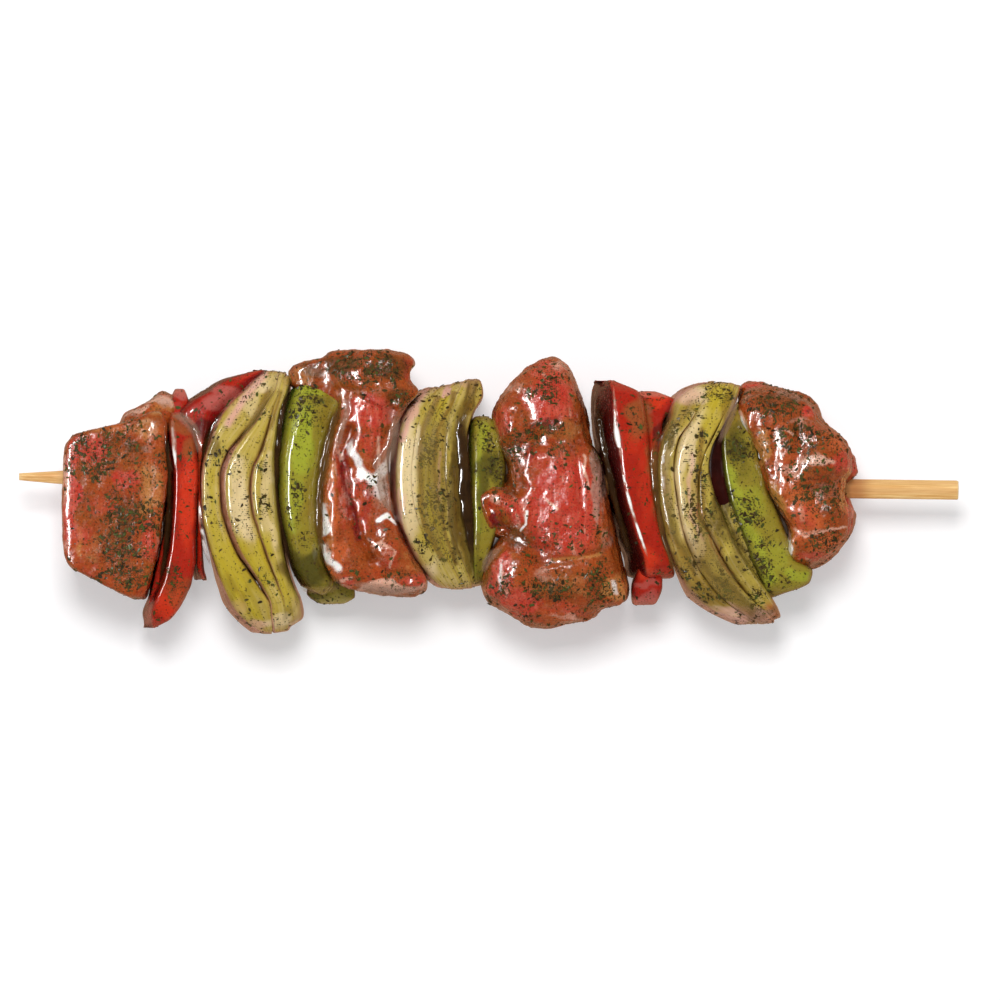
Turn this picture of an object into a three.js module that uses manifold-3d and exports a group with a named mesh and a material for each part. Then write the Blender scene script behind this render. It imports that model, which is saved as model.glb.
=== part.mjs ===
// Beef kebab skewer: raw marinated beef, sweet pepper and onion on a square bamboo stick.
// Millimetres. X runs along the stick, Z is up and the food rests on Z = 0.
import * as THREE from "three";
import { mergeVertices } from "three/addons/utils/BufferGeometryUtils.js";
import Module from "manifold-3d";

// The stick: its length is the measure that every other size was worked out from.
const STICK_LENGTH = 200;
const STICK_SIDE = 3.45;
const STICK_TURN = 30; // degrees the square section is turned about the stick
const STICK_HEIGHT = 18; // height of the stick's middle above the resting face
const POINT_LENGTH = 26; // the whittled stretch at the -X end
const POINT_SCALE = 0.36; // size of the blunt tip against the full section
const STICK_CORNER = 5; // how square the section is: 2 is round, more is squarer
const STICK_SIDES = 12;
const STICK_STEPS = 5; // stations along the whittled stretch
const END_BEVEL = 0.4;

// Clearances.
const FIT = 0.3; // between a piece and the stick through it
const GAP = 0.45; // between neighbouring pieces
const END_ONLY = 9; // odd power that keeps lengthwise growth at the two ends

// Facets. Thin pieces are slices of pepper and onion, thick ones are beef.
const THIN_FACETS = { rings: 8, sides: 10 };
const THICK_FACETS = { rings: 10, sides: 14 };

// How a slice is shaped. Sizes in millimetres:
//   ends    Y of the near and the far end
//   middle  X of the upper edge's centre line, halfway between the ends
//   lean    X gained by that line from the near end to the far end
//   bulge   X by which its middle stands out past the ends
//   hook    X by which its far end turns aside
//   wide    thickness, and flare is what the near end has more than the far end
//   heights Z of the lower and the upper edge
//   under   X of the lower edge against the upper edge
//   belly   X by which half height stands out past both edges
//   blunt, corner: how square the ends and the section are, 2 being round
const SLICE = { lean: 0, bulge: 0, hook: 0, flare: 0, under: 0, belly: 0, blunt: 3, corner: 3.4 };

const RED_PEPPER = {
  red_pepper_sliver: {
    ends: [-28, 18.9], middle: -69.7, lean: 4.6, bulge: 1.6, wide: 2, heights: [3, 25],
    under: -1.4, blunt: 5,
  },
  red_pepper_1: {
    ends: [-31.8, 14.4], middle: -64.4, lean: 4.2, bulge: 4.2, wide: 5.4, flare: 1.6,
    heights: [2, 31.5], under: -4.2, blunt: 4,
  },
  red_pepper_2: {
    ends: [-21.6, 23.2], middle: -62.3, lean: -1.5, hook: 13, wide: 4, flare: -3.4,
    heights: [3, 28.5], under: -2.6, blunt: 4,
  },
  red_pepper_3: {
    ends: [-19.8, 22.4], middle: 30.8, lean: -8.4, bulge: -1.2, wide: 8.2, flare: 1.4,
    heights: [3, 33.5], under: -4.4, blunt: 5,
  },
  red_pepper_4: {
    ends: [-25.8, 20.4], middle: 34.6, lean: 0.6, bulge: 0.6, hook: 2.4, wide: 4.8,
    heights: [2.5, 26], under: -0.6, blunt: 6,
  },
};

const GREEN_PEPPER = {
  green_pepper_1: {
    ends: [-24.2, 21.6], middle: -40.4, lean: -2, bulge: -3.2, wide: 9, heights: [2.5, 33],
    under: 0.6, blunt: 4,
  },
  green_pepper_2: {
    ends: [-26.2, 10], middle: -34.6, lean: -2, bulge: -0.8, wide: 4.6, flare: 5,
    heights: [3, 19.5], blunt: 4,
  },
  green_pepper_3: {
    ends: [-21.6, 14.4], middle: -1.1, lean: -1.6, bulge: -0.6, wide: 6.4, heights: [2.5, 31],
    under: 0.8, blunt: 5,
  },
  green_pepper_4: {
    ends: [-23.8, 18.4], middle: 54.6, lean: -10.6, bulge: -3.8, wide: 8.6, flare: 4,
    heights: [2, 31], under: 0.5, blunt: 4,
  },
};

// Onion wedges: the layers of each, from the outer skin side inwards.
const ONION = {
  onion_1: {
    shared: { under: 3, belly: -2.4, blunt: 2.6, corner: 3 },
    layers: [
      { ends: [-31.6, 22.8], middle: -59, lean: 0.6, bulge: -12.6, wide: 4, heights: [4, 32.5] },
      { ends: [-31.2, 22.2], middle: -52.9, lean: -1.4, bulge: -9, wide: 5, heights: [3, 34] },
      { ends: [-29.2, 20.6], middle: -47.7, lean: -2.6, bulge: -6, wide: 4.6, heights: [4, 35] },
    ],
  },
  onion_2: {
    shared: { under: 2.4, belly: -1.8, blunt: 3.6, corner: 3 },
    layers: [
      { ends: [-21.6, 19.6], middle: -19.2, lean: -0.6, bulge: -8, wide: 4.2, heights: [4, 33] },
      { ends: [-22.4, 20.8], middle: -14.9, lean: -0.4, bulge: -6.4, wide: 3.8, heights: [3, 34.5] },
      { ends: [-22.6, 21.8], middle: -10.8, lean: -0.4, bulge: -4.8, wide: 3.7, heights: [3, 35] },
      { ends: [-22.2, 21.2], middle: -6.8, lean: 0.4, bulge: -3.2, wide: 3.5, heights: [4, 34] },
    ],
  },
  onion_3: {
    shared: { under: 3.4, belly: -1.8, blunt: 3.2, corner: 3 },
    layers: [
      { ends: [-29.4, 21.4], middle: 37.9, lean: -12, bulge: -13.8, wide: 3.8, heights: [4, 32] },
      { ends: [-28.6, 22.2], middle: 42, lean: -11, bulge: -12, wide: 3.7, heights: [3, 33.5] },
      { ends: [-27.6, 22], middle: 46, lean: -9.6, bulge: -9.6, wide: 3.5, heights: [4, 34] },
      { ends: [-26.4, 3], middle: 52.3, lean: -8.4, bulge: -2.4, wide: 3.4, heights: [5, 29] },
    ],
  },
};

// Beef chunks, each of one or two lumps grown together. west and east are the two sides seen
// from above, as [Y, X] from near to far. Each lump is a little uneven: swell is how far its
// sides lean in and out over its height, and roll is how far its top rises and dips along Y.
const BEEF = {
  beef_1: [
    {
      west: [[-25.6, -75], [-20.7, -86], [-16.5, -89.8], [-5, -90.5], [7.5, -90], [10.5, -86], [14.8, -72]],
      east: [[-25.6, -72.4], [-13, -69.3], [-3, -67.5], [8, -67.6], [14.8, -68.6]],
      heights: [-1.2, 32.5], swell: 0.8, roll: 0.7,
    },
    {
      west: [[-6, -82], [9, -82], [14.5, -76.7], [18.6, -71]],
      east: [[-6, -66], [12, -64.8], [18.6, -68]],
      heights: [5, 26], swell: 0.5, roll: 0.6,
    },
  ],
  beef_2: [
    {
      west: [[-24.4, -30], [-17, -34.8], [-4, -35.9], [9, -33], [20, -31]],
      east: [[-24.4, -13.4], [-14.4, -16.3], [-4, -20.6], [9, -20.3], [20, -15.4]],
      heights: [1, 34], swell: -0.9, roll: -0.8,
    },
    {
      west: [[9, -38], [20.4, -41.6], [23.6, -42], [27.4, -36]],
      east: [[9, -20], [18.6, -15], [25, -16.1], [27.4, -18.8]],
      heights: [7, 33], swell: 0.6, roll: 0.5,
    },
  ],
  beef_3: [
    {
      west: [[-31, 9], [-24.5, -0.4], [-18.5, -2], [-8, 1.6], [8, 1.4], [15, -0.2], [21, 3.6], [26.8, 11]],
      east: [[-31, 13.4], [-27, 24.6], [-21, 30.2], [-12, 27.7], [1, 24.9], [10, 21.4], [20, 20.2], [26.8, 14]],
      heights: [-1.4, 36], swell: 1.2, roll: 1.1,
    },
  ],
  beef_4: [
    {
      west: [[-17.6, 66], [-12, 63.2], [-9, 63.5], [0.5, 58.2], [10, 55], [14.5, 52.6], [21.2, 55.4]],
      east: [[-17.6, 67], [-13, 74.4], [-6, 78.3], [5, 78.4], [11, 75.8], [17, 70.6], [21.2, 61.4]],
      heights: [-1.2, 33.4], swell: -1.1, roll: 0.9,
    },
  ],
};
const CHUNK = { blunt: 5, corner: 3.4 };
const ROLL_TURNS = 1.3; // how many half waves the roll makes from end to end

const COLOURS = {
  bamboo: { color: 0xd9b27a, roughness: 0.6, metalness: 0 },
  beef: { color: 0xb44a34, roughness: 0.35, metalness: 0 },
  redPepper: { color: 0xc8281e, roughness: 0.25, metalness: 0 },
  greenPepper: { color: 0x8a9a30, roughness: 0.25, metalness: 0 },
  onion: { color: 0xd2bd6e, roughness: 0.3, metalness: 0 },
};

const wasm = await Module();
wasm.setup();

// A signed power, so that a superellipse keeps the quadrant it is in.
function signedPower(value, power) {
  return Math.sign(value) * Math.abs(value) ** power;
}

// How much of the full section is left at v, which runs from -1 to 1 between the ends.
function endCap(v, blunt) {
  return (1 - Math.abs(v) ** blunt) ** (1 / blunt);
}

// Reads a side off its few corners, straight between them.
function sideAt(corners, y) {
  const last = corners.length - 1;
  if (y <= corners[0][0]) return corners[0][1];
  if (y >= corners[last][0]) return corners[last][1];
  const next = corners.findIndex((corner) => corner[0] > y);
  const [y0, x0] = corners[next - 1];
  const [y1, x1] = corners[next];
  return THREE.MathUtils.lerp(x0, x1, (y - y0) / (y1 - y0));
}

// Joins rings of points, each counter-clockwise seen from the first end, and closes both ends.
function skinOverRings(rings, firstPole, lastPole) {
  const sides = rings[0].length;
  const points = [firstPole, ...rings.flat(), lastPole];
  const triangles = [];
  const at = (ring, side) => 1 + ring * sides + (side % sides);
  for (let side = 0; side < sides; side++) {
    triangles.push(0, at(0, side), at(0, side + 1));
    for (let ring = 0; ring < rings.length - 1; ring++) {
      triangles.push(at(ring, side), at(ring + 1, side), at(ring, side + 1));
      triangles.push(at(ring, side + 1), at(ring + 1, side), at(ring + 1, side + 1));
    }
    triangles.push(points.length - 1, at(rings.length - 1, side + 1), at(rings.length - 1, side));
  }
  const geometry = new THREE.BufferGeometry();
  geometry.setAttribute("position", new THREE.Float32BufferAttribute(points.flat(), 3));
  geometry.setIndex(triangles);
  return geometry;
}

// A body swept along Y. sectionAt(v) gives its middle, half thickness and half height there.
function sweep(ends, facets, shape, sectionAt, grow) {
  const halfLength = (ends[1] - ends[0]) / 2;
  const middleY = (ends[0] + ends[1]) / 2;
  const pointAt = (v, sine, cosine) => {
    const section = sectionAt(v);
    const cap = endCap(v, shape.blunt);
    const across = signedPower(cosine, 2 / shape.corner) * cap * (section.halfWide + grow);
    const up = signedPower(sine, 2 / shape.corner) * cap;
    return [
      section.x + across + section.shear(up),
      middleY + v * halfLength + grow * v ** END_ONLY,
      section.z + up * (section.halfHigh + grow),
    ];
  };
  const rings = [];
  for (let ring = 1; ring <= facets.rings; ring++) {
    const v = Math.sin(Math.PI * (ring / (facets.rings + 1) - 0.5));
    const round = [];
    for (let side = 0; side < facets.sides; side++) {
      const angle = (2 * Math.PI * (side + 0.5)) / facets.sides;
      round.push(pointAt(v, Math.sin(angle), Math.cos(angle)));
    }
    rings.push(round);
  }
  return skinOverRings(rings, pointAt(-1, 0, 0), pointAt(1, 0, 0));
}

// A slice of pepper or onion, from the sizes listed over SLICE.
function sliceGeometry(sizes, grow) {
  const s = { ...SLICE, ...sizes };
  const sectionAt = (v) => ({
    x: s.middle + (s.lean * v) / 2 - s.bulge * v * v + s.hook * Math.max(v, 0) ** 2.4,
    z: (s.heights[0] + s.heights[1]) / 2,
    halfWide: (s.wide - (s.flare * v) / 2) / 2,
    halfHigh: (s.heights[1] - s.heights[0]) / 2,
    shear: (up) => (s.under * (1 - up)) / 2 + s.belly * (1 - up * up),
  });
  return sweep(s.ends, THIN_FACETS, s, sectionAt, grow);
}

// A chunk of beef, between its west and east sides.
function chunkGeometry(sizes, grow) {
  const ends = [sizes.west[0][0], sizes.west.at(-1)[0]];
  const sectionAt = (v) => {
    const y = THREE.MathUtils.lerp(ends[0], ends[1], (v + 1) / 2);
    const west = sideAt(sizes.west, y);
    const east = sideAt(sizes.east, y);
    const roll = (sizes.roll / 2) * Math.sin(Math.PI * ROLL_TURNS * v);
    return {
      x: (west + east) / 2,
      z: (sizes.heights[0] + sizes.heights[1]) / 2 + roll,
      halfWide: (east - west) / 2,
      halfHigh: (sizes.heights[1] - sizes.heights[0]) / 2 + roll,
      shear: (up) => -sizes.swell * Math.cos(Math.PI * up),
    };
  };
  return sweep(ends, THICK_FACETS, CHUNK, sectionAt, grow);
}

// The stick: a square section with rounded corners, whittled to a blunt tip at its -X end.
function stickGeometry(grow) {
  const half = STICK_SIDE / 2;
  const turn = THREE.MathUtils.degToRad(STICK_TURN);
  const ringAt = (x, scale) => {
    const round = [];
    for (let side = 0; side < STICK_SIDES; side++) {
      const angle = (2 * Math.PI * side) / STICK_SIDES;
      const u = signedPower(Math.cos(angle), 2 / STICK_CORNER) * (half * scale + grow);
      const w = signedPower(Math.sin(angle), 2 / STICK_CORNER) * (half * scale + grow);
      round.push([
        x,
        u * Math.cos(turn) - w * Math.sin(turn),
        STICK_HEIGHT + u * Math.sin(turn) + w * Math.cos(turn),
      ]);
    }
    return round.reverse();
  };
  const start = -STICK_LENGTH / 2 - grow;
  const end = STICK_LENGTH / 2 + grow;
  const rings = [];
  for (let step = 0; step <= STICK_STEPS; step++) {
    const along = step / STICK_STEPS;
    const scale = THREE.MathUtils.lerp(POINT_SCALE, 1, Math.sin((along * Math.PI) / 2));
    rings.push(ringAt(start + along * POINT_LENGTH, scale));
  }
  rings.push(ringAt(end - END_BEVEL, 1));
  rings.push(ringAt(end, 1 - END_BEVEL / half));
  return skinOverRings(rings, [start, 0, STICK_HEIGHT], [end, 0, STICK_HEIGHT]);
}

function toSolid(geometry) {
  const bare = geometry.clone();
  bare.deleteAttribute("normal");
  bare.deleteAttribute("uv");
  const merged = mergeVertices(bare);
  const mesh = new wasm.Mesh({
    numProp: 3,
    vertProperties: new Float32Array(merged.attributes.position.array),
    triVerts: new Uint32Array(merged.index.array),
  });
  return new wasm.Manifold(mesh);
}

function toGeometry(solid) {
  const mesh = solid.getMesh();
  const geometry = new THREE.BufferGeometry();
  geometry.setAttribute("position", new THREE.BufferAttribute(mesh.vertProperties, 3));
  geometry.setIndex(new THREE.BufferAttribute(mesh.triVerts, 1));
  geometry.computeVertexNormals();
  return geometry;
}

// Everything below the face that the food rests on.
function belowFloor() {
  const size = 2 * STICK_LENGTH;
  const box = new THREE.BoxGeometry(size, size, size);
  box.translate(0, 0, -size / 2);
  return toSolid(box);
}

// Each entry makes its solid at true size, or grown on all sides to clear its neighbours.
function listOfPieces() {
  const pieces = [];
  const add = (name, colour, make) => pieces.push({ name, colour, make });
  for (const [name, wedge] of Object.entries(ONION)) {
    wedge.layers.forEach((layer, index) => {
      const sizes = { ...wedge.shared, ...layer };
      add(`${name}_layer_${index + 1}`, "onion", (grow) => toSolid(sliceGeometry(sizes, grow)));
    });
  }
  for (const [name, sizes] of Object.entries(RED_PEPPER)) {
    add(name, "redPepper", (grow) => toSolid(sliceGeometry(sizes, grow)));
  }
  for (const [name, sizes] of Object.entries(GREEN_PEPPER)) {
    add(name, "greenPepper", (grow) => toSolid(sliceGeometry(sizes, grow)));
  }
  for (const [name, lumps] of Object.entries(BEEF)) {
    add(name, "beef", (grow) =>
      lumps.map((lump) => toSolid(chunkGeometry(lump, grow))).reduce((whole, lump) => whole.add(lump)));
  }
  return pieces;
}

function meshOf(name, geometry, colour) {
  const mesh = new THREE.Mesh(geometry, new THREE.MeshStandardMaterial(COLOURS[colour]));
  mesh.name = name;
  return mesh;
}

function overlaps(a, b) {
  return a.max[0] > b.min[0] && b.max[0] > a.min[0];
}

// A later piece gives way to the earlier ones, as soft beef does to crisp slices.
function buildKebab() {
  const kebab = new THREE.Group();
  kebab.add(meshOf("skewer", stickGeometry(0), "bamboo"));
  const stickHole = toSolid(stickGeometry(FIT));
  const floor = belowFloor();
  const earlier = [];
  for (const { name, colour, make } of listOfPieces()) {
    let solid = make(0).subtract(stickHole).subtract(floor);
    for (const other of earlier) {
      if (overlaps(solid.boundingBox(), other.boundingBox())) solid = solid.subtract(other);
    }
    earlier.push(make(GAP));
    kebab.add(meshOf(name, toGeometry(solid), colour));
  }
  const box = new THREE.Box3().setFromObject(kebab);
  const centre = box.getCenter(new THREE.Vector3());
  kebab.position.set(-centre.x, -centre.y, -box.min.z);
  return kebab;
}

const kebab = buildKebab();

export default kebab;
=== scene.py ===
# Beef kebab skewer: raw marinated beef, sweet pepper and onion on a bamboo stick
import bpy
import numpy as np
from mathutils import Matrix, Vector


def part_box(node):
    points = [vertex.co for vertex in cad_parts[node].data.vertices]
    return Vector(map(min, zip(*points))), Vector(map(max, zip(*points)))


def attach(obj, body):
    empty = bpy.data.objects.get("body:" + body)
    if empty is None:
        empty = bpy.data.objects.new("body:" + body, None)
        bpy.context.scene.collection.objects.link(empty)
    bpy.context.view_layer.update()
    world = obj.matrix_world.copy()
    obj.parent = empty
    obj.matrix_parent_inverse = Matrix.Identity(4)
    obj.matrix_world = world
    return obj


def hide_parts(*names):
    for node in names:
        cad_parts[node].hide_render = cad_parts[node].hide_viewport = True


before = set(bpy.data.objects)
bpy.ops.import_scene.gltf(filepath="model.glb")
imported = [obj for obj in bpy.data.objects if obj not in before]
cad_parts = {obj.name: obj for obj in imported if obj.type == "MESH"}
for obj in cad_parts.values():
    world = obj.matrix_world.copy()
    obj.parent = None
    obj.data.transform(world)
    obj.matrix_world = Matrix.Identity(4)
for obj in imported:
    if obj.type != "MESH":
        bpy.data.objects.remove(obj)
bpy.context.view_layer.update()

mm = 0.001
stickLow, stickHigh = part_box("skewer")
stickTop = 18.0                       # height of the stick's middle over the floor, mm
home = np.array([(stickLow[0] + stickHigh[0]) / 2, (stickLow[1] + stickHigh[1]) / 2, 0.0])
print("frame loaded, stick middle at", home.round(4))


# places: the photo's pixels turned into millimetres on the kebab
photo = {
    "mmPerPixel": 0.2128,             # the 200 mm stick is 939.4 pixels long
    "stickMiddle": (488.5, 483.4),
    "tilt": 0.0144,                   # how much the stick falls to the right, pixel for pixel
    "middle": (500.0, 500.0),
}


def plan(marks):
    # pixel marks to X and Y in millimetres from the stick's middle
    marks = np.asarray(marks, float)
    across = marks[..., 0] - photo["stickMiddle"][0]
    down = marks[..., 1] - photo["stickMiddle"][1]
    return np.stack([across, photo["tilt"] * across - down], -1) * photo["mmPerPixel"]


def through(marks, where):
    # monotone cubic through (position, value) marks: Hermite pieces with harmonic mean slopes
    marks = np.asarray(marks, float)
    marks = marks[np.argsort(marks[:, 0])]
    x, y = marks[:, 0], marks[:, 1]
    step = np.diff(x)
    rise = np.diff(y) / step
    slope = np.zeros(len(x))
    slope[0], slope[-1] = rise[0], rise[-1]
    same = rise[:-1] * rise[1:] > 0
    safe = np.where(same, rise[:-1] + rise[1:], 1)
    slope[1:-1] = np.where(same, 2 * rise[:-1] * rise[1:] / safe, 0)
    where = np.clip(where, x[0], x[-1])
    k = np.clip(np.searchsorted(x, where) - 1, 0, len(step) - 1)
    t = (where - x[k]) / step[k]
    a, b = 1 - t, t
    return (y[k] * a * a * (1 + 2 * b) + y[k + 1] * b * b * (1 + 2 * a)
            + step[k] * a * b * (slope[k] * a - slope[k + 1] * b))


# noise
latticeSize = 32
seedStep, latticeMiddle = 5.37, 100   # how far apart two seeds read, and where the first one starts
lattice = np.random.default_rng(11).uniform(-1, 1, (latticeSize,) * 3)


def noise(points, size, seed=0):
    # smooth lattice noise: random values on a cube grid of this size, blended by t*t*(3-2t)
    q = points / size + seedStep * seed + latticeMiddle
    cell = np.floor(q).astype(int)
    f = q - cell
    f = f * f * (3 - 2 * f)
    total = np.zeros(len(points))
    for corner in range(8):
        o = np.array([corner & 1, corner >> 1 & 1, corner >> 2 & 1])
        weight = np.prod(np.where(o, f, 1 - f), axis=1)
        i = (cell + o) % latticeSize
        total += weight * lattice[i[:, 0], i[:, 1], i[:, 2]]
    return total


def fractal(points, size, octaves=4, seed=0):
    # noise summed over halving sizes, each half as strong
    return sum(0.5 ** k * noise(points, size / 2 ** k, seed + k) for k in range(octaves))


def creased(points, size, seed=0):
    # sharp ridges where smooth noise crosses zero, the points shaken first so they wander
    wander, sharp = 0.35, 0.8
    shaken = points + size * wander * np.stack([noise(points, size, seed + k) for k in (3, 4, 5)], -1)
    return 1 - 2 * np.abs(noise(shaken, size, seed)) ** sharp


def smooth(low, high, x):
    # 0 at low and 1 at high, without a corner
    t = np.clip((x - low) / (high - low), 0, 1)
    return t * t * (3 - 2 * t)


# meshes
def linked(name, data):
    made = bpy.data.objects.new(name, data)
    bpy.context.scene.collection.objects.link(made)
    return made


def makeMesh(name, points, quads, tris=None):
    # a mesh object from whole arrays, points in millimetres from the stick's middle
    mesh = bpy.data.meshes.new(name)
    tris = np.zeros((0, 3), int) if tris is None else tris
    mesh.vertices.add(len(points))
    mesh.vertices.foreach_set("co", (points * mm + home).astype(np.float32).ravel())
    mesh.loops.add(quads.size + tris.size)
    corners = np.concatenate([quads.ravel(), tris.ravel()])
    mesh.loops.foreach_set("vertex_index", corners.astype(np.int32))
    mesh.polygons.add(len(quads) + len(tris))
    starts = np.concatenate([np.arange(len(quads)) * 4, quads.size + np.arange(len(tris)) * 3])
    mesh.polygons.foreach_set("loop_start", starts.astype(np.int32))
    mesh.update(calc_edges=True)
    mesh.validate()
    mesh.shade_smooth()
    return linked(name, mesh)


def gridFaces(rows, cols, first=0):
    # quads of a grid that closes round its columns, and the fans to a pole before and after it
    i, j = np.meshgrid(np.arange(rows - 1), np.arange(cols), indexing="ij")
    k = (j + 1) % cols
    at = lambda r, c: first + 1 + r * cols + c
    quads = np.stack([at(i, j), at(i + 1, j), at(i + 1, k), at(i, k)], -1).reshape(-1, 4)
    j = np.arange(cols)
    k = (j + 1) % cols
    start = np.stack([np.full(cols, first), at(0, j), at(0, k)], -1)
    end = np.stack([np.full(cols, first + 1 + rows * cols), at(rows - 1, k), at(rows - 1, j)], -1)
    return quads, np.concatenate([start, end])


def readArray(items, key, width):
    flat = np.empty(len(items) * width, np.float32)
    items.foreach_get(key, flat)
    return flat.reshape(-1, width)


def readPoints(piece):
    return (readArray(piece.data.vertices, "co", 3).astype(float) - home) / mm


def readNormals(piece):
    return readArray(piece.data.vertex_normals, "vector", 3).astype(float)


def writePoints(piece, points):
    points = points.copy()
    points[:, 2] = np.maximum(points[:, 2], 0)      # nothing goes through the floor
    piece.data.vertices.foreach_set("co", (points * mm + home).astype(np.float32).ravel())
    piece.data.update()


def paint(piece, masks):
    # one float attribute for each mask
    for name, values in masks.items():
        layer = piece.data.attributes.new(name, "FLOAT", "POINT")
        layer.data.foreach_set("value", np.clip(values, -1, 1).astype(np.float32))


spotShape = {"wobble": 4, "octaves": 3, "full": 0.55, "gone": 1.25}


def blobs(points, spots, ragged=1.2, seed=3):
    # soft spots with ragged edges. A spot is (px, py, half width, half height) in pixels of the
    # photo and an optional strength; the plan position is shaken by noise first
    wobble = [fractal(points, spotShape["wobble"], spotShape["octaves"], s) for s in (seed, seed + 9)]
    shaken = points[:, :2] + ragged * np.stack(wobble, -1)
    covered = np.zeros(len(points))
    for spot in spots:
        reach = np.array(spot[2:4]) * photo["mmPerPixel"]
        away = np.sqrt((((shaken - plan(spot[:2])) / reach) ** 2).sum(1))
        strength = spot[4] if len(spot) > 4 else 1.0
        covered = np.maximum(covered, strength * (1 - smooth(spotShape["full"], spotShape["gone"], away)))
    return covered


def streak(points, marks, width, strength=1.0):
    # a bell curve of the distance in the plan to a line through pixel marks, width in mm
    line = plan(marks)
    away = np.full(len(points), np.inf)
    for a, b in zip(line[:-1], line[1:]):
        run = b - a
        t = np.clip(((points[:, :2] - a) @ run) / (run @ run), 0, 1)
        gap = points[:, :2] - (a + t[:, None] * run)
        away = np.minimum(away, np.hypot(gap[:, 0], gap[:, 1]))
    return strength * np.exp(-(away / width) ** 2)


# loft between two sides seen from above
loftDefaults = {
    "bottom": 2.5, "top": 32.0,       # Z of the lowest and highest edge, mm
    "under": 0.0, "belly": 0.0,       # X of the lower edge, and of half height, against the top
    "bellyEnds": 0.0,                 # more belly towards the two ends
    "taper": 0.08,                    # how much narrower the slice is at the bottom
    "overlap": 0.0,                   # how far a side presses past its marks, mm
    "endOverlap": 0.0,                # and how much farther at the ends
    "drop": 2.5,                      # how far the ends of the top edge sink
    "bluntWide": 9.0, "bluntHigh": 5.0,
    "squareTop": 9.0, "squareLow": 3.0,
    "roof": [(0, 0), (1, 0)],         # fall of the top face, mm, at shares of its width
    "leftFace": 0.0, "rightFace": 0.0,  # shares of the width that the side colours take: painted shade on the peppers, skin on the onions
    "faceEdge": 0.02,                 # softness of their edge
    "pressed": (0.62, 0.95),          # where along a half the end overlap grows
    "flankTop": (0.93, 0.80),         # where the side colours start below the top
    "flankEnd": (0.985, 0.90),        # and where they stop before the ends
}
sectionSet = {"steps": 4001, "finer": 2.4, "fineFrom": (0.55, 0.9)}


def sectionCurve(cols, halfWide, halfHigh, squareTop, squareLow):
    # superellipse x^n + z^n = 1, one exponent above and one below, stepped by length and
    # about three times as finely over the top
    angle = np.linspace(0, 2 * np.pi, sectionSet["steps"])
    c, s = np.cos(angle), np.sin(angle)
    n = np.where(s >= 0, squareTop, squareLow)
    size = (np.abs(c) ** n + np.abs(s) ** n) ** (-1 / n)
    x, z = c * size, s * size
    step = np.hypot(np.diff(x) * halfWide, np.diff(z) * halfHigh)
    step *= 1 + sectionSet["finer"] * smooth(*sectionSet["fineFrom"], (z[1:] + z[:-1]) / 2)
    length = np.concatenate([[0], np.cumsum(step)])
    even = np.linspace(0, length[-1], cols, endpoint=False)
    return np.interp(even, length, x), np.interp(even, length, z)


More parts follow.
